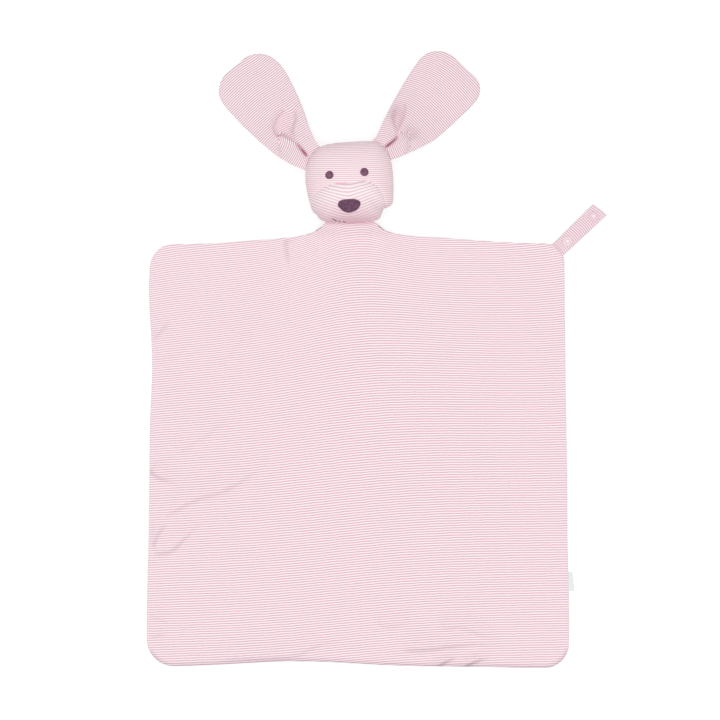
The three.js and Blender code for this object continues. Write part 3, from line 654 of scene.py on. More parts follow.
# Painted light: a lighter copy of the blanket's jersey, which makes up for the shade over the domed
# head
HEAD_JERSEY = jersey_material("striped_jersey_head", srgb(236, 188, 200), HEAD_WHITE, 0.1)
EAR_JERSEY = jersey_material("striped_jersey_ears", srgb(215, 168, 182), WHITE)
MUZZLE_JERSEY = jersey_material("striped_jersey_muzzle", srgb(235, 192, 205), HEAD_WHITE, 0.4)
STRAP_JERSEY = jersey_material("striped_jersey_strap", srgb(220, 176, 190), srgb(249, 236, 240))
NOSE_PLUM = thread_material(
    "plum_thread_nose", srgb(98, 52, 80), srgb(144, 100, 130), srgb(66, 32, 54))
PLUM = thread_material("plum_thread", srgb(114, 68, 94), srgb(160, 116, 144), srgb(78, 42, 66))
SEWING = thread_material("sewing_thread", srgb(132, 88, 108), srgb(150, 108, 126), srgb(104, 66, 86))
PLASTIC = plastic_material()
RIBBON = ribbon_material()


# Blanket

def half_width_at(y):
    return (BOTTOM_WIDTH + (TOP_WIDTH - BOTTOM_WIDTH) * (y / HEIGHT + 0.5)) / 2


def corner_radius(x, y):
    """The strap is sewn into the sharpest corner, and the lower corners are the roundest."""
    lower = np.where(x > 0, RIGHT_CORNER, LEFT_CORNER)
    upper = np.where(x > 0, STRAP_CORNER, CORNER)
    return np.where(y > 0, upper, lower)


def neck_rise(x):
    outside = np.maximum(abs(x - NECK_X) - NECK_HALF_WIDTH, 0)
    return NECK_RISE / (1 + outside / NECK_SWEEP)


def neck_open(x):
    """1 where the cloth runs on into the neck, 0 where its top edge is sewn and rolled."""
    return 1 - smooth(abs(x - NECK_X), *NECK_OPEN)


# How far the cloth's edges wander outwards, in millimetres: place along the edge, width and shift
BOTTOM_WAVES = ((-55, 72, -4.8), (165, 40, 1.2))
TOP_WAVES = ((72, 48, 3.2), (-75, 35, 1.2), (-150, 30, -0.9))
LEFT_WAVES = ((150, 30, 2.2), (78, 30, -1.6), (-140, 50, 0.9))
RIGHT_WAVES = ((-20, 50, 0.4), (-140, 40, 0.9))

# Soft folds of the front layer, in millimetres: height, how far each reaches on the side above the
# line and on the steep side below it, how much painted shade lies at its foot, and the line
CREASES = (
    (2.2, 10, 3.6, 1.4, ((-187, -11), (-178, -18), (-160, -23))),
    (2, 8, 3, 1.3, ((-186.3, -81.9), (-180.9, -68.4), (-172.8, -60))),
    (2.2, 15, 3.6, 0.7, (
        (-178.2, -55.8), (-148.5, -38.7), (-121.5, -29.7), (-97.2, -15.3), (-81.9, 0.9))),
    (2.4, 15, 3.6, 0.8, ((-184.5, -86.4), (-169.2, -83.7), (-157.5, -72.9), (-135, -51.3))),
    (1.2, 16, 6, 0.6, ((-166.5, 2.7), (-135.9, 23.4), (-117.9, 38.7))),
    (1.2, 16, 6, 0.3, ((-126.9, 81.9), (-106.2, 108.9), (-94.5, 126.9))),
    (1.1, 14, 6, 0.4, ((-184.5, 90.9), (-166.5, 93.6), (-151.2, 106.2))),
    (2.8, 12, 3.6, 1, ((35, -173.5), (65, -172.2), (80.1, -170), (103.5, -168), (140, -169))),
    (1.8, 10, 4, 0.5, ((17.1, -150.3), (35.1, -150.3), (49.5, -147.6))),
    (2.2, 10, 3.6, 0.6, ((73.8, -154.8), (91.8, -152.1), (112.5, -159.3), (125.1, -162.9))),
    (1.6, 16, 8, 1, (
        (-142.2, -180), (-67.5, -177.1), (-45.9, -170.1), (-27.9, -162.9), (-0.9, -158.4))),
    (1.2, 6, 3, 1, ((-187, -143), (-178, -145.5), (-168, -150))),
    (1.2, 6, 3, 1, ((-187, -161), (-180, -160), (-170, -158))),
    (2, 6, 3, 1, ((-64, 196), (-62, 183), (-60, 170))),
    (2.6, 5, 2.2, 1.6, ((69, -190), (78, -184.5), (90, -180))),
    (2.6, 5, 2.2, 1.8, ((93, -190), (103, -185), (119, -180))),
    (1.6, 6, 3, 1, ((-185, 106), (-178, 114), (-170, 123))),
)
CREASE_REACH = 140
CREASE_SPAN_SHARES = (0, 0.15, 0.5, 1)
FOOT_SHARE = 0.6  # of the steep side's reach, where the foot lies
FOOT_WIDTH = 1.5
FOOT_FULL = 2.2  # height of a fold whose foot is fully dark

# Course of the blanket's stripes, in millimetres
TILT, TILT_X, TILT_WIDTH, TILT_SLOPE = 9, -15, 95, 0.01
ARCH, ARCH_X, ARCH_WIDTH, ARCH_SPREAD, ARCH_FADE = 20, -5, 30, 0.6, 220
ARCH_POWER, ARCH_EXTRA_POWER, ARCH_POWER_FADE = 2, 1.2, 30
FLARE, FLARE_FADE, FLARE_WIDTH, FLARE_POWER = 0.1, 110, 150.0, 5


def waves(along, table):
    return MILLI * sum(shift * hump(along / MILLI, place, width) for place, width, shift in table)


def crease_height(x, y):
    """The height of the folds, and how much painted shade lies at their feet."""
    spots = np.stack([x, y], axis=-1).reshape(-1, 2) / MILLI
    total = np.zeros(len(spots))
    depth = np.zeros(len(spots))
    for height, gentle, steep, dark, points in CREASES:
        line = through(points, False, CURVE_STEPS)
        way = unit(np.gradient(line, axis=0))
        near = np.linalg.norm(spots - line.mean(axis=0), axis=1) < CREASE_REACH
        gaps = spots[near][:, None, :] - line[None, :, :]
        far = np.linalg.norm(gaps, axis=2)
        nearest = far.argmin(axis=1)
        pick = np.arange(len(nearest))
        gap, far = gaps[pick, nearest], far[pick, nearest]
        side = way[nearest, 0] * gap[:, 1] - way[nearest, 1] * gap[:, 0]
        window = within(nearest / (len(line) - 1), *CREASE_SPAN_SHARES)
        total[near] += height * window * hump(far, 0, np.where(side > 0, gentle, steep))
        foot = window * hump(far, FOOT_SHARE * steep, FOOT_WIDTH) * (side < 0)
        depth[near] = np.maximum(depth[near], foot * dark * height / FOOT_FULL)
    return MILLI * total.reshape(np.shape(x)), depth.reshape(np.shape(x))


def blanket_stripe(x, y):
    """How many pairs of stripes lie between the neck seam and this place."""
    down = np.maximum(NECK_SEAM_Y - y, 0) / MILLI
    across = x / MILLI
    tilt = TILT * np.tanh((across - TILT_X) / TILT_WIDTH) + TILT_SLOPE * across
    power = ARCH_POWER + ARCH_EXTRA_POWER * np.exp(-down / ARCH_POWER_FADE)
    beside = abs((across - ARCH_X) / (ARCH_WIDTH + ARCH_SPREAD * down))
    arch = ARCH * hump(down, 0, ARCH_FADE) / (1 + beside**power)
    flare = FLARE * np.exp(-down / FLARE_FADE) * across**FLARE_POWER
    flare = flare / (FLARE_POWER * FLARE_WIDTH ** (FLARE_POWER - 1))
    return (y - (tilt + arch + flare) * MILLI) / BLANKET_PITCH


def neck_lift(x, y, end):
    joined = smooth(y, *NECK_END_REACH)
    across = hump(x, NECK_X, NECK_LIFT_WIDTH)
    across = across + (1 - across) * joined * NECK_FULL_SHARE
    along = np.where(y < NECK_CUT_Y, hump(y, NECK_CUT_Y, NECK_LIFT_LENGTH), 1.0)
    return NECK_LIFT * across * along, end * joined


def blanket_grid(columns, rows):
    """Places of the grid over the blanket, and the distance in from its sewn edge."""
    yn = rows[:, None]
    reach = half_width_at(yn)
    ends = HEIGHT / 2 - abs(yn)
    radius = corner_radius(columns[None, :], yn)
    x0 = columns[None, :] * (reach - corner_cut(ends, radius)) / (TOP_WIDTH / 2)
    sides = reach - abs(x0)
    slope = np.gradient(neck_rise(x0[-1]), x0[-1])
    leaning = np.where(yn > 0, 1 / np.sqrt(1 + slope[None, :] ** 2), 1.0)
    open_share = np.where(yn > 0, neck_open(x0), 0.0)
    edge = rounded_distance(sides, ends * leaning + open_share * NECK_SEAM_Y, radius)
    upper = smooth(yn, *WAVE_REACH)
    lower = smooth(-yn, *WAVE_REACH)
    left = smooth(-x0, *WAVE_REACH)
    right = smooth(x0, *WAVE_REACH)
    tuck = NECK_TUCK * neck_open(x0) * smooth(yn, HEIGHT / 2 - 2 * NECK_TUCK, HEIGHT / 2)
    y = yn + upper * (neck_rise(x0) + waves(x0, TOP_WAVES) * (1 - neck_open(x0))) + tuck
    y = y - lower * waves(x0, BOTTOM_WAVES)
    x = x0 - left * waves(yn, LEFT_WAVES) + right * waves(yn, RIGHT_WAVES)
    return x, y, np.maximum(edge, 0)


def strap_place(s, a=0.0):
    """A place on the strap, at a distance along it from its seam and across it."""
    cos, sin = heading(STRAP_ANGLE)
    seam_x = half_width_at(HEIGHT / 2) - STRAP_CORNER * (1 - cos)
    seam_y = HEIGHT / 2 - STRAP_CORNER * (1 - sin) + neck_rise(seam_x)
    return seam_x + s * cos - a * sin, seam_y + s * sin + a * cos


def strap_bump(x, y):
    seam_x, seam_y = strap_place(0.0)
    return STRAP_BUMP * np.exp(-((np.hypot(x - seam_x, y - seam_y) / STRAP_BUMP_REACH) ** 4))


def back_lines(size):
    """Lines as close as the front's near the edge, and wide apart further in."""
    fine = lines_between(-size, size, FRONT_STEP)
    inner = np.arange(-size + BACK_FINE, size - BACK_FINE, BACK_STEP)
    near = size - BACK_FINE + FRONT_STEP
    return np.concatenate([fine[fine < -near], inner, fine[fine > near]])


def blanket_layer(side, x, y, edge, seam, outer, blush=0.0, shade=0.0):
    z = seam + (outer - seam) * quarter(edge / ROLL)
    patch = Patch(stack(x, y, z), blanket_stripe(x, y), x / WALE, side == "back", blush, shade)
    nodes = (f"blanket_{side}", f"neck_{side}")
    return sewn_piece(f"blanket_{side}_cloth", [patch], JERSEY, nodes)


def make_blanket():
    sizes = (TOP_WIDTH / 2, HEIGHT / 2)
    x, y, edge = blanket_grid(*[lines_between(-size, size, FRONT_STEP) for size in sizes])
    lift, end = neck_lift(x, y, NECK_FRONT_END)
    seam = SEAM_Z + NECK_SEAM_SHARE * lift + end
    folds, depth = crease_height(x, y)
    folds = CREASE_LIFT * folds * smooth(edge, *CREASE_START)
    soft = sway(x, y, LONG_SWAY, 1.0) + SHORT_SWAY_SHARE * sway(x, y, SHORT_SWAY, 5.0)
    soft = UNDULATION * soft * smooth(edge, *UNDULATION_START)
    allowance = (RIM_TOP_Z - FRONT_Z) * (1 - smooth(edge, *RIM_FADE))
    top = FRONT_Z + allowance + lift + end + folds + soft + strap_bump(x, y)
    # Painted shade at the top of the neck, under the chin
    blush = NECK_SHADE * smooth(y, *NECK_SHADE_Y) * neck_open(x)
    # Painted shade at the feet of the folds and along the lowest edge
    low = 1 - smooth(y + HEIGHT / 2, *BOTTOM_SHADE_HEIGHTS)
    shade = CREASE_SHADE * depth + BOTTOM_SHADE * low * (1 - smooth(edge, 0, BOTTOM_SHADE_WIDTH))
    front = blanket_layer("front", x, y, edge, seam, top, blush, shade)

    x, y, edge = blanket_grid(*map(back_lines, sizes))
    lift, end = neck_lift(x, y, NECK_FRONT_END)
    seam = SEAM_Z + NECK_SEAM_SHARE * lift + end
    under = BACK_Z + NECK_BACK_SHARE * lift + neck_lift(x, y, NECK_BACK_END)[1]
    back = blanket_layer("back", x, y, edge, seam, under)

    for piece, rests in ((front, ["blanket_back_cloth"]), (back, [])):
        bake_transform(piece)


# Head

HEAD_MIDDLE = (HEAD_X, HEAD_Y)
MUZZLE_MIDDLE = (MUZZLE_X, MUZZLE_Y)
RAY_START = (HEAD_X, RAY_Y)

# Course of the stripes over the face and the muzzle, in millimetres
FACE_STRETCH, FACE_TILT, FACE_BOW = 0.4, 0.025, 0.0006
MUZZLE_STRETCH, MUZZLE_STEEPEST, MUZZLE_TILT = 0.5, 9, 0.03
MUZZLE_RATE, LOW_RATE, LOW_RATE_Y, CHIN_RATE, CHIN_RATE_Y = 0.72, 0.2, (224, 236), 1.1, (206, 218)
SMILE, SMILE_WIDTH, SMILE_FADE_Y = 0.40, 9, (227, 249)
MUZZLE_COLUMNS = np.arange(-46, 47) + HEAD_X / MILLI
MUZZLE_ROWS = np.arange(200, 260.25, 0.5)


def around(curve, centre):
    """Angles and distances of a closed curve as seen from a place inside it."""
    gap = curve - np.array(centre)
    angle = np.mod(np.arctan2(gap[:, 1], gap[:, 0]), 2 * math.pi)
    order = np.argsort(angle)
    return angle[order], np.hypot(gap[:, 0], gap[:, 1])[order]


def radius_at(angle, polar):
    return np.interp(np.mod(angle, 2 * math.pi), *polar, period=2 * math.pi)


HEAD_SIZE = (HEAD_HALF_WIDTH, HEAD_HALF_HEIGHT)
MUZZLE_SIZE = (MUZZLE_HALF_WIDTH, MUZZLE_HALF_HEIGHT)
OUTLINE = through(HEAD_OUTLINE_SHARES, True, FINE_STEPS) * HEAD_SIZE + HEAD_MIDDLE
MUZZLE_SEAM = through(MUZZLE_SEAM_SHARES, True, FINE_STEPS) * MUZZLE_SIZE + MUZZLE_MIDDLE
OUTLINE_POLAR = around(OUTLINE, HEAD_MIDDLE)
SEAM_POLAR = around(MUZZLE_SEAM, MUZZLE_MIDDLE)


def share_of(x, y, centre, polar):
    gap_x, gap_y = x - centre[0], y - centre[1]
    return np.hypot(gap_x, gap_y) / radius_at(np.arctan2(gap_y, gap_x), polar)


def head_front(x, y):
    """Height of the head's front, before its seams are pulled in."""
    s = np.clip(share_of(x, y, HEAD_MIDDLE, OUTLINE_POLAR), 0, 1)
    p = np.clip(share_of(x, y, MUZZLE_MIDDLE, SEAM_POLAR), 0, 1)
    dome = HEAD_FRONT * np.sqrt(1 - s**FACE_ROUNDNESS)
    fade = np.minimum(1, 2 * np.sqrt(1 - s**2))
    return HEAD_SEAM_Z + dome + MUZZLE_BULGE * (1 - p**2) ** MUZZLE_BLUNTNESS * fade


def head_back(s):
    return HEAD_SEAM_Z - HEAD_BACK * (1 - np.clip(s, 0, 1) ** NAPE_ROUNDNESS) ** NAPE_BLUNTNESS


def pull_in(points, seams):
    """Draws the cloth in along the seams, with small puckers beside them."""
    flat = points.reshape(-1, 3)
    way = unit(flat - (*HEAD_MIDDLE, HEAD_SEAM_Z))
    dip = np.zeros(len(flat))
    for seam, depth in seams:
        steps = np.linalg.norm(np.diff(seam, axis=0, append=seam[:1]), axis=1)
        far = np.linalg.norm(flat[:, None, :] - seam[None, :, :], axis=2)
        nearest = far.argmin(axis=1)
        gap = far[np.arange(len(flat)), nearest]
        dip = np.maximum(dip, depth * np.exp(-gap / SEAM_WIDTH))
        turn = 2 * math.pi * np.cumsum(steps)[nearest] / PUCKER_PITCH
        uneven = 0.6 + 0.4 * np.sin(0.37 * turn + 1.0)
        pucker = PUCKER * uneven * np.sin(turn + 1.3 * np.sin(0.23 * turn))
        dip = dip + pucker * hump(gap, 0, PUCKER_REACH) * smooth(gap, 0, SEAM_WIDTH)
    return (flat - way * dip[:, None]).reshape(points.shape)


def face_stripe(x, y):
    """The stripes keep their pitch as the cloth rises over the face."""
    steps = np.linspace(-0.999, 0.999, 400)
    rise = HEAD_FRONT * np.sqrt(1 - abs(steps) ** FACE_ROUNDNESS)
    slope = np.gradient(rise, steps * HEAD_HALF_HEIGHT)
    run = np.cumsum(np.sqrt(1 + FACE_STRETCH * slope**2)) * np.diff(steps)[0]
    over = np.interp((y - HEAD_Y) / HEAD_HALF_HEIGHT, steps, run - run[len(run) // 2])
    across = (x - HEAD_X) / MILLI
    tilt = FACE_TILT * across + FACE_BOW * across**2
    return (HEAD_Y + over * HEAD_HALF_HEIGHT - tilt * MILLI) / HEAD_PITCH


def muzzle_run():
    """How far the cloth runs up over the muzzle, in columns, as it bends round to the sides."""
    rows = MUZZLE_ROWS
    height = head_front(MUZZLE_COLUMNS[:, None] * MILLI, rows[None, :] * MILLI) / MILLI
    slope = np.gradient(height, rows, axis=1)
    steep = np.sqrt(1 + MUZZLE_STRETCH * np.minimum(slope**2, MUZZLE_STEEPEST))
    steep = np.maximum(steep / steep[len(steep) // 2], 1)
    rate = MUZZLE_RATE + LOW_RATE * (1 - smooth(rows, *LOW_RATE_Y))
    rate = rate + CHIN_RATE * (1 - smooth(rows, *CHIN_RATE_Y))
    run = np.cumsum(rate * steep, axis=1) * (rows[1] - rows[0])
    level = np.searchsorted(rows, RAY_Y / MILLI)
    return run - run[:, level:level + 1]


def muzzle_stripe(x, y):
    """The stripes hang in the middle, rise to both sides and lie closer together at the chin."""
    run = muzzle_run()
    cells = []
    for value, lines in ((x / MILLI, MUZZLE_COLUMNS), (y / MILLI, MUZZLE_ROWS)):
        place = np.clip((value - lines[0]) / (lines[1] - lines[0]), 0, len(lines) - 1.001)
        cells.append((place.astype(int), place % 1))
    (i, p), (j, q) = cells
    low = run[i, j] * (1 - p) + run[i + 1, j] * p
    high = run[i, j + 1] * (1 - p) + run[i + 1, j + 1] * p
    across = (x - MUZZLE_X) / MILLI
    smile = SMILE * (np.hypot(across, SMILE_WIDTH) - SMILE_WIDTH)
    smile = smile * (1 - smooth(y / MILLI, *SMILE_FADE_Y) / 2)
    return (low * (1 - q) + high * q - smile - MUZZLE_TILT * across) * MILLI / MUZZLE_PITCH


def head_panel(name, spots, seams, stripe, material, nodes, back=None, blush=0.0):
    """A panel of the head, drawn in along its seams, on the front or at the back's heights."""
    x, y = spots[..., 0], spots[..., 1]
    z = head_front(x, y) if back is None else back
    points = pull_in(stack(x, y, z), seams)
    patch = Patch(points, stripe(x, y), x / WALE, back is not None, blush)
    piece = sewn_piece(f"{name}_cloth", [patch], material, nodes, "head")


ANGLES = turns(RAYS)
WAYS = np.stack([np.cos(ANGLES), np.sin(ANGLES)], axis=-1)
RIM_REACH = radius_at(ANGLES, around(OUTLINE, RAY_START))
SEAM_REACH = radius_at(ANGLES, around(MUZZLE_SEAM, RAY_START))
INNER_REACH = np.minimum(RIM_REACH, SEAM_REACH)
RIM = RAY_START + WAYS * RIM_REACH[:, None]
FACE_RAYS = np.flatnonzero(RIM_REACH[:-1] > SEAM_REACH[:-1])


def head_seams():
    """The seams round the side, over the muzzle and down the nape, and how deep each draws in."""
    arch = (RAY_START + WAYS * INNER_REACH[:, None])[FACE_RAYS]
    arch = arch[arch[:, 0] > MUZZLE_X - ARCH_END_SHARE * MUZZLE_HALF_WIDTH]
    middle = np.linspace(RIM[:, 1].min(), RIM[:, 1].max(), NAPE_STEPS)
    nape = head_back(share_of(HEAD_X, middle, HEAD_MIDDLE, OUTLINE_POLAR))
    lesser = LESSER_SEAM_SHARE * SEAM_DEPTH
    return ((stack(*RIM[:-1].T, HEAD_SEAM_Z), SEAM_DEPTH),
            (stack(*arch.T, head_front(*arch.T)), lesser),
            (stack(HEAD_X, middle, nape), lesser))


def make_muzzle(seams):
    shares = lines_between(0, MUZZLE_HALF_WIDTH, HEAD_STEP, rim_start=False) / MUZZLE_HALF_WIDTH
    spots = RAY_START + WAYS[:, None, :] * (INNER_REACH[:, None] * shares)[:, :, None]
    # Painted shade under the chin
    chin = hump(spots[..., 0], HEAD_X, CHIN_WIDTH) * (1 - smooth(spots[..., 1], *CHIN_Y))
    head_panel("muzzle", spots, seams, muzzle_stripe, MUZZLE_JERSEY, ("muzzle_panel",),
               blush=CHIN_SHADE * chin)


def make_face(seams):
    """The rays' numbers start again from 0 within the face, so its first part is moved back."""
    rays = FACE_RAYS
    turn = np.flatnonzero(np.diff(rays) > 1)
    if len(turn):
        rays = np.concatenate([rays[turn[0] + 1:] - RAYS, rays[:turn[0] + 1]])
    rays = np.arange(rays[0] - 1, rays[-1] + 2) % RAYS
    shares = lines_between(0, FACE_SPAN, HEAD_STEP) / FACE_SPAN
    reach = INNER_REACH[rays, None] + (RIM_REACH - INNER_REACH)[rays, None] * shares
    spots = RAY_START + WAYS[rays][:, None, :] * reach[:, :, None]
    head_panel("face", spots, seams, face_stripe, HEAD_JERSEY, ("face_panel", "head_stuffing"))


def make_head_backs(seams):
    shares = lines_between(0, HEAD_HALF_WIDTH, HEAD_STEP, rim_start=False) / HEAD_HALF_WIDTH
    quarter_turn = RAYS // 4
    for side, first in (("right", -quarter_turn), ("left", quarter_turn)):
        edge = RIM[np.arange(first, first + 2 * quarter_turn + 1) % RAYS]
        spots = HEAD_MIDDLE + (edge - HEAD_MIDDLE)[:, None, :] * shares[None, :, None]
        name = f"head_back_{side}"
        head_panel(name, spots, seams, face_stripe, HEAD_JERSEY, (name,), back=head_back(shares))


def make_head():
    side, arch, nape = head_seams()
    make_muzzle((side, arch))
    make_face((side, arch))
    make_head_backs((side, nape))


# Embroidery

def tube_patch(path, half_width, half_height, strand, sides=6):
    """A thread along a path, whose ends taper to a point."""
    way = unit(np.gradient(path, axis=0))
    across = unit(np.cross(way, (0, 0, 1)))
    over = np.cross(across, way)
    turn = turns(sides)
    size = np.ones(len(path))
    size[0] = size[-1] = THREAD_END_SHARE
    ring = (across[:, None, :] * (np.cos(turn) * half_width)[None, :, None]
            + over[:, None, :] * (np.sin(turn) * half_height)[None, :, None])
    points = path[:, None, :] + ring * size[:, None, None]
    along = np.concatenate([[0], np.cumsum(np.linalg.norm(np.diff(path, axis=0), axis=1))])
    twist = along[:, None] / THREAD_TWIST + (turn / (2 * math.pi))[None, :]
    return Patch(points, twist, strand, False)


def satin_stitch(node, material, centre, outline, tilt, pad):
    """Threads laid side by side over a padded shape, and the pad under them."""
    way = heading(tilt)
    side = np.array((-way[1], way[0]))
    closed = np.vstack([outline, outline[:1]])
    along, across = closed @ way, closed @ side
    polar = around(outline, (0.0, 0.0))

    def raised(spots, share):
        edge = np.clip(share_of(spots[:, 0], spots[:, 1], (0.0, 0.0), polar), 0, 1)
        dome = pad * share * np.sqrt(1 - edge**SATIN_ROUNDNESS)
        return head_front(*(spots + centre).T) + dome

    patches = []
    offsets = np.arange(across.min() + THREAD_PITCH / 2, across.max(), THREAD_PITCH)
    for number, offset in enumerate(offsets):
        gap = across - offset
        cross = np.flatnonzero(gap[:-1] * gap[1:] < 0)
        if len(cross) < 2:
            continue
        share = gap[cross] / (gap[cross] - gap[cross + 1])
        hits = np.sort(along[cross] + share * (along[cross + 1] - along[cross]))
        uneven = THREAD_UNEVEN * math.sin(7.3 * number)
        run = np.linspace(hits[0] - uneven, hits[-1] + uneven, THREAD_STEPS + 1)
        spots = way[None, :] * run[:, None] + side[None, :] * offset
        z = raised(spots, 1.0)
        z[[0, -1]] -= THREAD_DIVE
        path = np.column_stack([spots + centre, z])
        strand = (number * 0.618) % 1.0
        patches.append(tube_patch(path, THREAD_HALF_WIDTH, THREAD_HALF_HEIGHT, strand))
    angle = turns(RING_STEPS)[:, None]
    radius = radius_at(angle, polar) * np.linspace(0, 1, UNDERLAY_STEPS)
    x, y = np.cos(angle) * radius, np.sin(angle) * radius
    z = raised(np.column_stack([x.reshape(-1), y.reshape(-1)]), UNDERLAY_SHARE).reshape(x.shape)
    points = stack(x + centre[0], y + centre[1], z - THREAD_HALF_HEIGHT / 2)
    patches.append(Patch(points, radius / THREAD_TWIST, 0.2, False))
    sewn_piece(f"{node}_satin_stitch", patches, material, (node,), "head")


def make_embroidery():
    ring = turns(RING_STEPS)[:-1]
    circle = np.column_stack([np.cos(ring), np.sin(ring)]) * EYE_DIAMETER / 2
    apart = heading(EYES_TILT) * EYES_APART / 2
    for node, way in (("left_eye", -1), ("right_eye", 1)):
        centre = np.array((EYES_X, EYES_Y)) + way * apart
        satin_stitch(node, PLUM, centre, circle, EYE_THREADS_TILT * way, EYE_PAD)
    outline = through(NOSE_SHARES, True, COARSE_STEPS) * (NOSE_WIDTH / 2, NOSE_HEIGHT / 2)
    satin_stitch("nose", NOSE_PLUM, np.array((NOSE_X, NOSE_Y)), outline, 90.0, NOSE_PAD)
    threads = []
    for places in STITCHES:
        x, y = through(places, False, COARSE_STEPS).T
        path = stack(x, y, head_front(x, y) + STITCH_HALF_HEIGHT / 2)
        threads.append(tube_patch(path, STITCH_HALF_WIDTH, STITCH_HALF_HEIGHT, 0.5, 8))
    sewn_piece("closing_stitch_thread", threads, SEWING, ("closing_stitches",), "head")


# Ears

# all_over_shade is painted shade over the whole ear
EARS = (
    {"name": "left", "base": (-0.0414, 0.2691), "angle": 130.2, "length": 0.107, "fuller": 1,
     "full": LEFT_FULL_SHARES, "straight": LEFT_STRAIGHT_SHARES, "corner": 0.020, "all_over_shade": 0.0,
     "hollow": LEFT_HOLLOW, "crease": LEFT_CREASE, "flap": LEFT_FLAP, "shaded_spots": ()},
    {"name": "right", "base": (0.0217, 0.276211), "angle": 46.6, "length": 0.1045, "fuller": -1,
     "full": RIGHT_FULL_SHARES, "straight": RIGHT_STRAIGHT_SHARES, "corner": 0.015, "all_over_shade": 0.03,
     "hollow": RIGHT_HOLLOW, "crease": RIGHT_CREASE, "flap": RIGHT_FLAP,
     "shaded_spots": ((33, -13, 8.5, 6), (31, 9.5, 5, 7.5))},
)

# Forms of the folded bases, in millimetres: height, place and width, and the distances from the
# base between which each rises and fades
HOLLOW_DEPTH, HOLLOW_SLOPE, HOLLOW_RISE, HOLLOW_WANE = -4.6, (-1.5, 5.5), 2, 13
CREASE_DEPTH, CREASE_WIDTH, CREASE_SPAN = -6, 1.1, (2, 6, 14, 21)
FLAPS, FLAP_FADE = ((1.8, 9, 5), (1.8, -3, 4.5)), (8, 30)
LIP, LIP_SPAN = (1.5, -1.4, 1.5), (20, 28, 47, 53)
TUCK, TUCK_START = (-1.2, 0, 2), (2, 5)
PINCH_DEPTH, PINCH_ALONG, PINCH_ACROSS = -3.8, (29, 5.5), (9, 5.5)

# Course of the ears' stripes, in millimetres
EAR_BOW, FLAP_TURN, FLAP_TURN_WIDTH = 600, 8.5, 10
FLAP_START, FLAP_END = (-0.4, 0.6), (-0.8, 0.8)
SLANT, SLANT_X, LEAN, LEAN_WIDTH = 0.27, -3, 1.6, 9
FAN_ALONG, FAN_ACROSS, LEAN_X, LEAN_SOFT = -8, 2, -11, 5

# Painted shade in the ears' folds, given in the same way
EAR_CREASE_SHADE, EAR_CREASE_SHADE_SPAN = 0.95, (2, 5, 11, 20)
CREASE_NARROW, CREASE_WIDER, CREASE_NARROWING = 0.4, 0.5, (4, 18)
LIP_SHADE, LIP_SHADE_SPAN = (0.3, 0.2, 1.1), (17, 22, 48, 53)
TUCK_SHADE, TUCK_SHADE_START = (0.1, 0.5, 1.2), (1, 4)
HOLLOW_SHADE = 0.08


def ridge(value, height, middle, width):
    return height * hump(value, middle, width)


def ear_folds(ear, t, a):
    """How deep in the hollow, and how far from its outer rim, past the flap and from the crease."""
    places, outer, inner = np.array(ear["hollow"]).T
    outer_gap = np.interp(t, places, outer) - a
    gap = np.minimum(outer_gap, a - np.interp(t, places, inner))
    first, last = places[0], places[-1]
    window = within(t, first, first + HOLLOW_RISE, last - HOLLOW_WANE, last + HOLLOW_RISE)
    rim = through(np.column_stack([places, outer]), False, COARSE_STEPS)
    from_rim = np.hypot((t + 0 * a)[..., None] - rim[:, 0], a[..., None] - rim[:, 1]).min(axis=-1)
    from_rim = from_rim * np.where(outer_gap > 0, 1, -1)
    past_flap = t - np.interp(a, *np.array(ear["flap"]).T)
    beside = a - np.interp(t, *np.array(ear["crease"]).T)
    return smooth(gap, *HOLLOW_SLOPE) * window, from_rim, past_flap, beside


def ear_relief(ear, t, a, folds):
    """The folded base: a sharp crease between two flaps that opens into a hollow with a lip."""
    inside, from_rim, past_flap, beside = folds
    crease = CREASE_DEPTH * np.exp(-abs(beside / CREASE_WIDTH) ** 1.5) * within(t, *CREASE_SPAN)
    flaps = sum(ridge(a, *flap) for flap in FLAPS) * (1 - smooth(t, *FLAP_FADE))
    tuck = ridge(past_flap, *TUCK) * smooth(beside, *TUCK_START)
    if ear["fuller"] > 0:
        lip = ridge(from_rim, *LIP) * within(t, *LIP_SPAN)
    else:
        lip = PINCH_DEPTH * hump(t, *PINCH_ALONG) * hump(a, *PINCH_ACROSS)
    return (crease + flaps + HOLLOW_DEPTH * inside + lip + tuck) * MILLI


def ear_stripe(ear, t, a, folds):
    """The stripes turn away on the outer flap, slant in the hollow and lean over on the inner side."""
    inside, _, past_flap, beside = folds
    flap = smooth(beside, *FLAP_START) * (1 - smooth(past_flap, *FLAP_END))
    turned = FLAP_TURN * (1 - np.exp(-np.maximum(beside, 0) / FLAP_TURN_WIDTH)) * flap
    up = t + np.maximum(a, 0) ** 2 / EAR_BOW + turned
    if ear["fuller"] > 0:
        up = up - LEAN * np.tanh(a / LEAN_WIDTH + 1) - SLANT * (a - SLANT_X) * inside
    else:
        from_fan = t - FAN_ALONG
        fan = np.hypot(from_fan, np.minimum(a - FAN_ACROSS, 0)) - from_fan
        up = up + fan + np.log1p(np.exp((LEAN_X - a) / LEAN_SOFT))
    return up * MILLI / EAR_PITCH


def ear_fold_shade(ear, t, folds):
    """Painted shade over the whole ear, in the crease, under the lip, in the hollow and where the flap
    ends.
    """
    inside, from_rim, past_flap, beside = folds
    width = CREASE_NARROW + CREASE_WIDER * (1 - smooth(t, *CREASE_NARROWING))
    crease = EAR_CREASE_SHADE * hump(beside, 0, width) * within(t, *EAR_CREASE_SHADE_SPAN)
    lip = ridge(from_rim, *LIP_SHADE) * within(t, *LIP_SHADE_SPAN)
    tuck = ridge(past_flap, *TUCK_SHADE) * smooth(beside, *TUCK_SHADE_START)
    return ear["all_over_shade"] + np.maximum(crease, lip) + HOLLOW_SHADE * inside + tuck


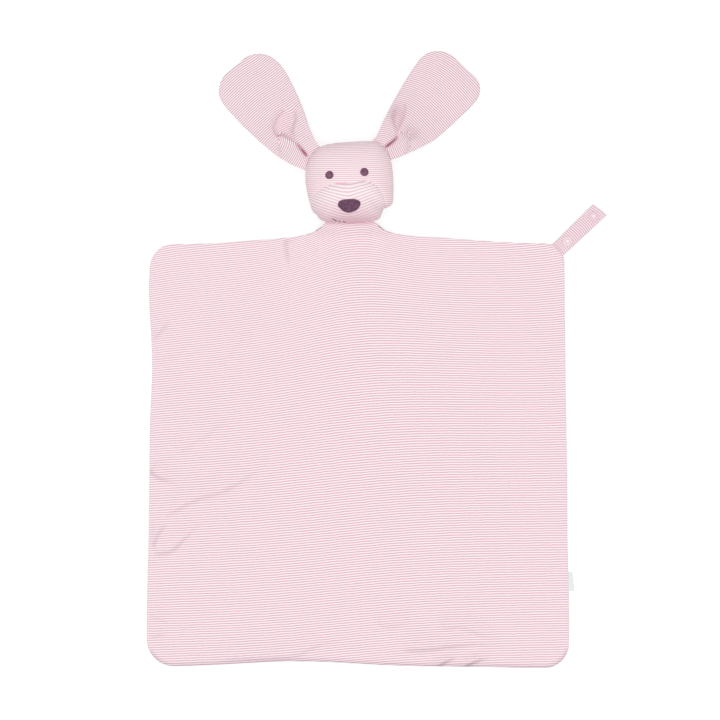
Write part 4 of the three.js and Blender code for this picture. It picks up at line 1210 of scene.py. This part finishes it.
def ear_shade(ear, t, a):
    """Spots of painted shade: distance from the base, place across, and how far each reaches."""
    places = [hump(t, along, long) * hump(a, across, wide)
              for along, across, long, wide in ear["shaded_spots"]]
    return EAR_SPOT_SHADE * sum(places) + 0 * a


def ear_grid(ear):
    """Places along and across the ear, shares of its width, and the distance in from its edge."""
    length, half = ear["length"], EAR_HALF_WIDTH
    t = lines_between(-EAR_ROOT, length, EAR_STEP, rim_start=False)[:, None]
    c = lines_between(-half, half, 2 * half / EAR_COLUMNS)[None, :] / half
    share = np.clip(t / length, ear["full"][0][0], 1)
    full, straight = share_curve(ear["full"], share), share_curve(ear["straight"], share)
    width = half * np.where(c > 0, full, straight)
    corner = np.where(c > 0, ear["corner"], EAR_TIP_CORNER)
    a = c * (width - corner_cut(length - t, corner))
    edge = rounded_distance(width - abs(a), length - t, corner)
    return t, a, c, np.maximum(edge, 0)


def ear_heights(ear, t, a, c, relief):
    """The upper side, the lower side and the middle of the edge."""
    under = EAR_BASE_HEIGHT * (1 - smooth(t, 0, EAR_LANDING))
    under = under + EAR_PLEAT_DEPTH * c**2 * np.exp(-np.maximum(t, 0) / EAR_PLEAT_FADE)
    puff = EAR_PUFF * (1 - c**2) * (1 - smooth(t / ear["length"], *EAR_PUFF_FADE_SHARES))
    gentle = EAR_UNDULATION * sway(t, a, EAR_SWAY, 2.0 + ear["fuller"])
    low = np.maximum(under + relief * EAR_BACK_SHARE, EAR_LOWEST)
    high = np.maximum(under + EAR_THICK + puff + relief + gentle, low + EAR_LEAST_THICK)
    return high, low, (under + np.maximum(under, EAR_LOWEST) + EAR_THICK) / 2


def make_ear(ear):
    name = f"ear_{ear['name']}"
    base = np.array(ear["base"])
    along = heading(ear["angle"])
    across = np.array((-along[1], along[0])) * ear["fuller"]
    t, a, c, edge = ear_grid(ear)
    t_mm, a_mm = t / MILLI, a / MILLI
    folds = ear_folds(ear, t_mm, a_mm)
    high, low, middle = ear_heights(ear, t, a, c, ear_relief(ear, t_mm, a_mm, folds))
    spots = base + along * t[..., None] + across * a[..., None]
    sheets = [stack(spots[..., 0], spots[..., 1], middle + (z - middle) * quarter(edge / EAR_ROLL))
              for z in (high, low)]
    sheets += [ear_stripe(ear, t_mm, a_mm, folds), a / WALE, ear_fold_shade(ear, t_mm, folds),
               ear_shade(ear, t_mm, a_mm)]
    if ear["fuller"] > 0:
        sheets = [sheet[:, ::-1] for sheet in sheets]
    front, back, stripe, wale, blush, shade = sheets
    patches = pad_patches(front, back, stripe, wale, False, blush, shade)
    nodes = [f"{name}_{part}" for part in ("front", "back", "pleat")]
    piece = sewn_piece(f"{name}_cloth", patches, EAR_JERSEY, nodes)
    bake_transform(piece)


# Strap

def strap_section(name, start, end, nodes):
    """A length of the strap: two layers turned inside out, with its edges rolled."""
    closed_end = end == STRAP_LENGTH
    s = lines_between(start, end, STRAP_STEP, rim_start=False, rim_end=closed_end)[:, None]
    half = (STRAP_WIDTH - STRAP_TAPER * (1 - s / STRAP_LENGTH)) / 2
    c = np.sin(np.linspace(-math.pi / 2, math.pi / 2, STRAP_COLUMNS + 1))[None, :]
    to_tip = STRAP_LENGTH - s
    a = c * (half - corner_cut(to_tip, STRAP_TIP_RADIUS))
    edge = np.maximum(rounded_distance(half - abs(a), to_tip, STRAP_TIP_RADIUS), 0)
    dimples = sum(hump(np.hypot(s - place, a), 0, DIMPLE_REACH) for place in (STUD_S, SOCKET_S))
    soft = STRAP_UNDULATION * sway(s, a, STRAP_SWAY, 3.0) * (1 - np.clip(dimples, 0, 1))
    thick = STRAP_HALF_THICK * quarter(edge / STRAP_ROLL) * (1 - DIMPLE_SHARE * dimples)
    skewed = s - STRAP_SKEW * a * smooth(s, FOLD_SPAN[1], STRAP_LENGTH)
    x, y = strap_place(skewed, a + STRAP_SHIFT)
    front = stack(x, y, STRAP_Z + thick + soft)
    back = stack(x, y, STRAP_Z - thick + soft)
    stripe = (s + STRAP_ARCH * (a / half) ** 2) / STRAP_PITCH
    # Painted shade along the seam
    seam = SEAM_SHADE * hump(s, SEAM_LINE, SEAM_LINE)
    sheets = [sheet[:, ::-1] for sheet in (front, back, stripe, a / WALE)]
    return sewn_piece(name, pad_patches(*sheets, not closed_end, seam), STRAP_JERSEY, nodes)


def make_strap():
    parts = (("strap_seam_end", -STRAP_ROOT, STUD_S, FLOP_SPAN, "blanket", "strap_base",
              ("strap_root", "strap_seam_cloth", "strap_base")),
             ("strap_folding_end", STUD_S, STRAP_LENGTH, FOLD_SPAN, "strap_base", "strap_tip",
              ("strap_fold_cloth", "strap_tip")))
    for name, start, end, span, parent, child, nodes in parts:
        piece = strap_section(name, start, end, nodes)
        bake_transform(piece)


# Outlines of the press stud's parts, in millimetres: distance from the axis, and height
FLANGE_PROFILE = ((0, 4.45), (4.1, 4.45), (4.4, 4.65), (4.42, 4.95), (4.25, 5.25))
STUD_PROFILE = FLANGE_PROFILE + (
    (3.9, 5.36), (3, 5.38), (2.7, 5.3), (2.3, 5.3), (1.95, 5.42), (1.85, 5.8), (1.95, 6.3),
    (2, 6.6), (1.85, 6.85), (1.5, 6.97), (0.8, 7), (0, 7),
)
SOCKET_PROFILE = FLANGE_PROFILE + (
    (3.95, 5.38), (3.6, 5.45), (3.42, 5.8), (3.4, 6.6), (3.3, 6.85), (3, 7), (2.7, 7),
    (2.42, 6.88), (2.3, 6.6), (2.3, 5.75), (2.1, 5.55), (1.2, 5.45), (0.9, 5.4), (0, 5.4),
)
CAP_PROFILE = (
    (0, 0.4), (1.2, 0.44), (2.6, 0.62), (3.7, 0.92), (4.5, 1.3), (4.78, 1.6), (4.76, 1.85),
    (4.55, 2), (4.2, 2.05), (0, 2.3),
)


def make_snap(node, profile, s, body):
    """A moulded part of the press stud, turned round its axis."""
    radius, height = np.array(profile).T * MILLI
    turn = turns(SNAP_SIDES)[:, None]
    x, y = strap_place(s)
    points = stack(x + np.cos(turn) * radius, y + np.sin(turn) * radius, height)
    # White in the middle: a painted highlight
    patch = Patch(points, 0.0, 0.0, False, smooth(radius, *STUD_MIDDLE))
    piece = sewn_piece(f"{node}_moulded", [patch], PLASTIC, (node,), body)
    shape = bmesh.new()
    shape.from_mesh(piece.data)
    bmesh.ops.recalc_face_normals(shape, faces=shape.faces)
    shape.to_mesh(piece.data)
    shape.free()


def make_snaps():
    for node, profile, s, body in (("snap_stud", STUD_PROFILE, STUD_S, "strap_base"),
                                   ("snap_socket", SOCKET_PROFILE, SOCKET_S, "strap_tip")):
        make_snap(node, profile, s, body)
        make_snap(f"{node}_cap", CAP_PROFILE, s, body)


# Side tab

def make_tab():
    """A length of ribbon folded in half, with its fold outwards."""
    leg = np.linspace(-TAB_ROOT, TAB_LENGTH - TAB_HALF_THICK, TAB_STEPS + 1)
    turn = math.pi * np.arange(1, TAB_TURNS) / TAB_TURNS
    out = np.concatenate([leg, leg[-1] + TAB_HALF_THICK * np.sin(turn), leg[::-1]])[:, None]
    side = np.concatenate([leg * 0 + 1, np.cos(turn), leg * 0 - 1])[:, None]
    b = np.linspace(-TAB_WIDTH / 2, TAB_WIDTH / 2, TAB_COLUMNS + 1)[None, :]
    share = np.clip(out / TAB_LENGTH, 0, 1)
    curl = TAB_CURL * share * np.sin(3.0 * b / TAB_WIDTH + 0.6)
    curl = curl + TAB_CORNER_LIFT * share**2 * hump(b, *TAB_CORNER)
    slant = TAB_LOWER_SLANT * smooth(-b, *TAB_LOWER) - TAB_UPPER_SLANT * smooth(b, *TAB_UPPER)
    free = smooth(out, 0, TAB_FREE)
    thick = TAB_ROOT_HALF_THICK + (TAB_HALF_THICK - TAB_ROOT_HALF_THICK) * free
    z = TAB_ROOT_Z + (TAB_Z - TAB_ROOT_Z) * free + side * thick + curl
    along = np.arange(len(out))[:, None] / 2
    patch = Patch(stack(TAB_X + out + share * slant, TAB_Y + b, z), along, b / RIBBON_PITCH, True)
    tab = sewn_piece("side_tab_ribbon", [patch], RIBBON, ("side_label", "label_root"))
    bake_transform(tab)


# Floor, light and camera

def cleared_tree(owner):
    owner.use_nodes = True
    owner.node_tree.nodes.clear()
    return owner.node_tree


def grey_shader(tree, kind, grey=1.0, *more):
    return add_node(tree, kind, [("Color", (grey, grey, grey, 1)), *more])[0]


def split_by_ray(tree, output, lighting, seen):
    """One shader for the light, one for what is seen directly, in a reflection or through glass."""
    path = add_node(tree, "ShaderNodeLightPath")
    direct = path["Is Camera Ray"]
    for name in ("Is Glossy Ray", "Is Transmission Ray"):
        either = enumerate((direct, path[name]))
        direct = add_node(tree, "ShaderNodeMath", either, operation="MAXIMUM")[0]
    mixed = add_node(tree, "ShaderNodeMixShader", enumerate((direct, lighting, seen)))[0]
    add_node(tree, output, [("Surface", mixed)])


def make_stage():
    half = FLOOR_SIZE / 2
    corners = ((-half, -half), (half, -half), (half, half), (-half, half))
    mesh = bpy.data.meshes.new("floor")
    mesh.from_pydata([(x, y, -FLOOR_DROP) for x, y in corners], [], [(0, 1, 2, 3)])
    material = bpy.data.materials.new("floor_paper")
    tree = cleared_tree(material)
    shade = grey_shader(tree, "ShaderNodeBsdfDiffuse", FLOOR_SHADE)
    glow = grey_shader(tree, "ShaderNodeEmission", 1.0, ("Strength", FLOOR_GLOW))
    both = add_node(tree, "ShaderNodeAddShader", enumerate((shade, glow)))[0]
    plain = grey_shader(tree, "ShaderNodeBsdfDiffuse", FLOOR_WHITE)
    split_by_ray(tree, "ShaderNodeOutputMaterial", plain, both)
    mesh.materials.append(material)
    add_object("floor", mesh)


def make_light():
    world = bpy.data.worlds.new("studio")
    bpy.context.scene.world = world
    tree = cleared_tree(world)
    lit = grey_shader(tree, "ShaderNodeBackground", 1.0, ("Strength", SKY_LIGHT))
    split_by_ray(tree, "ShaderNodeOutputWorld", lit, grey_shader(tree, "ShaderNodeBackground"))
    sun = bpy.data.lights.new("window", "SUN")
    sun.energy = SUN_STRENGTH
    sun.angle = math.radians(SUN_SPREAD)
    x, y, z = SUN_WAY
    lamp = add_object("window", sun)
    lamp.rotation_euler = (math.atan2(math.hypot(x, y), z), 0, math.atan2(x, -y))


def make_camera():
    data = bpy.data.cameras.new("camera")
    data.sensor_width = SENSOR / MILLI
    data.lens = SENSOR / MILLI * CAMERA_HEIGHT / VIEW_WIDTH
    data.clip_end = CLIP_END
    camera = add_object("camera", data)
    camera.location = (VIEW_X, VIEW_Y, CAMERA_HEIGHT)
    bpy.context.scene.camera = camera
    bpy.context.scene.view_settings.view_transform = "Standard"


make_camera()
make_stage()
make_light()
make_blanket()
make_head()
make_embroidery()
for each in EARS:
    make_ear(each)
make_strap()
make_snaps()
make_tab()
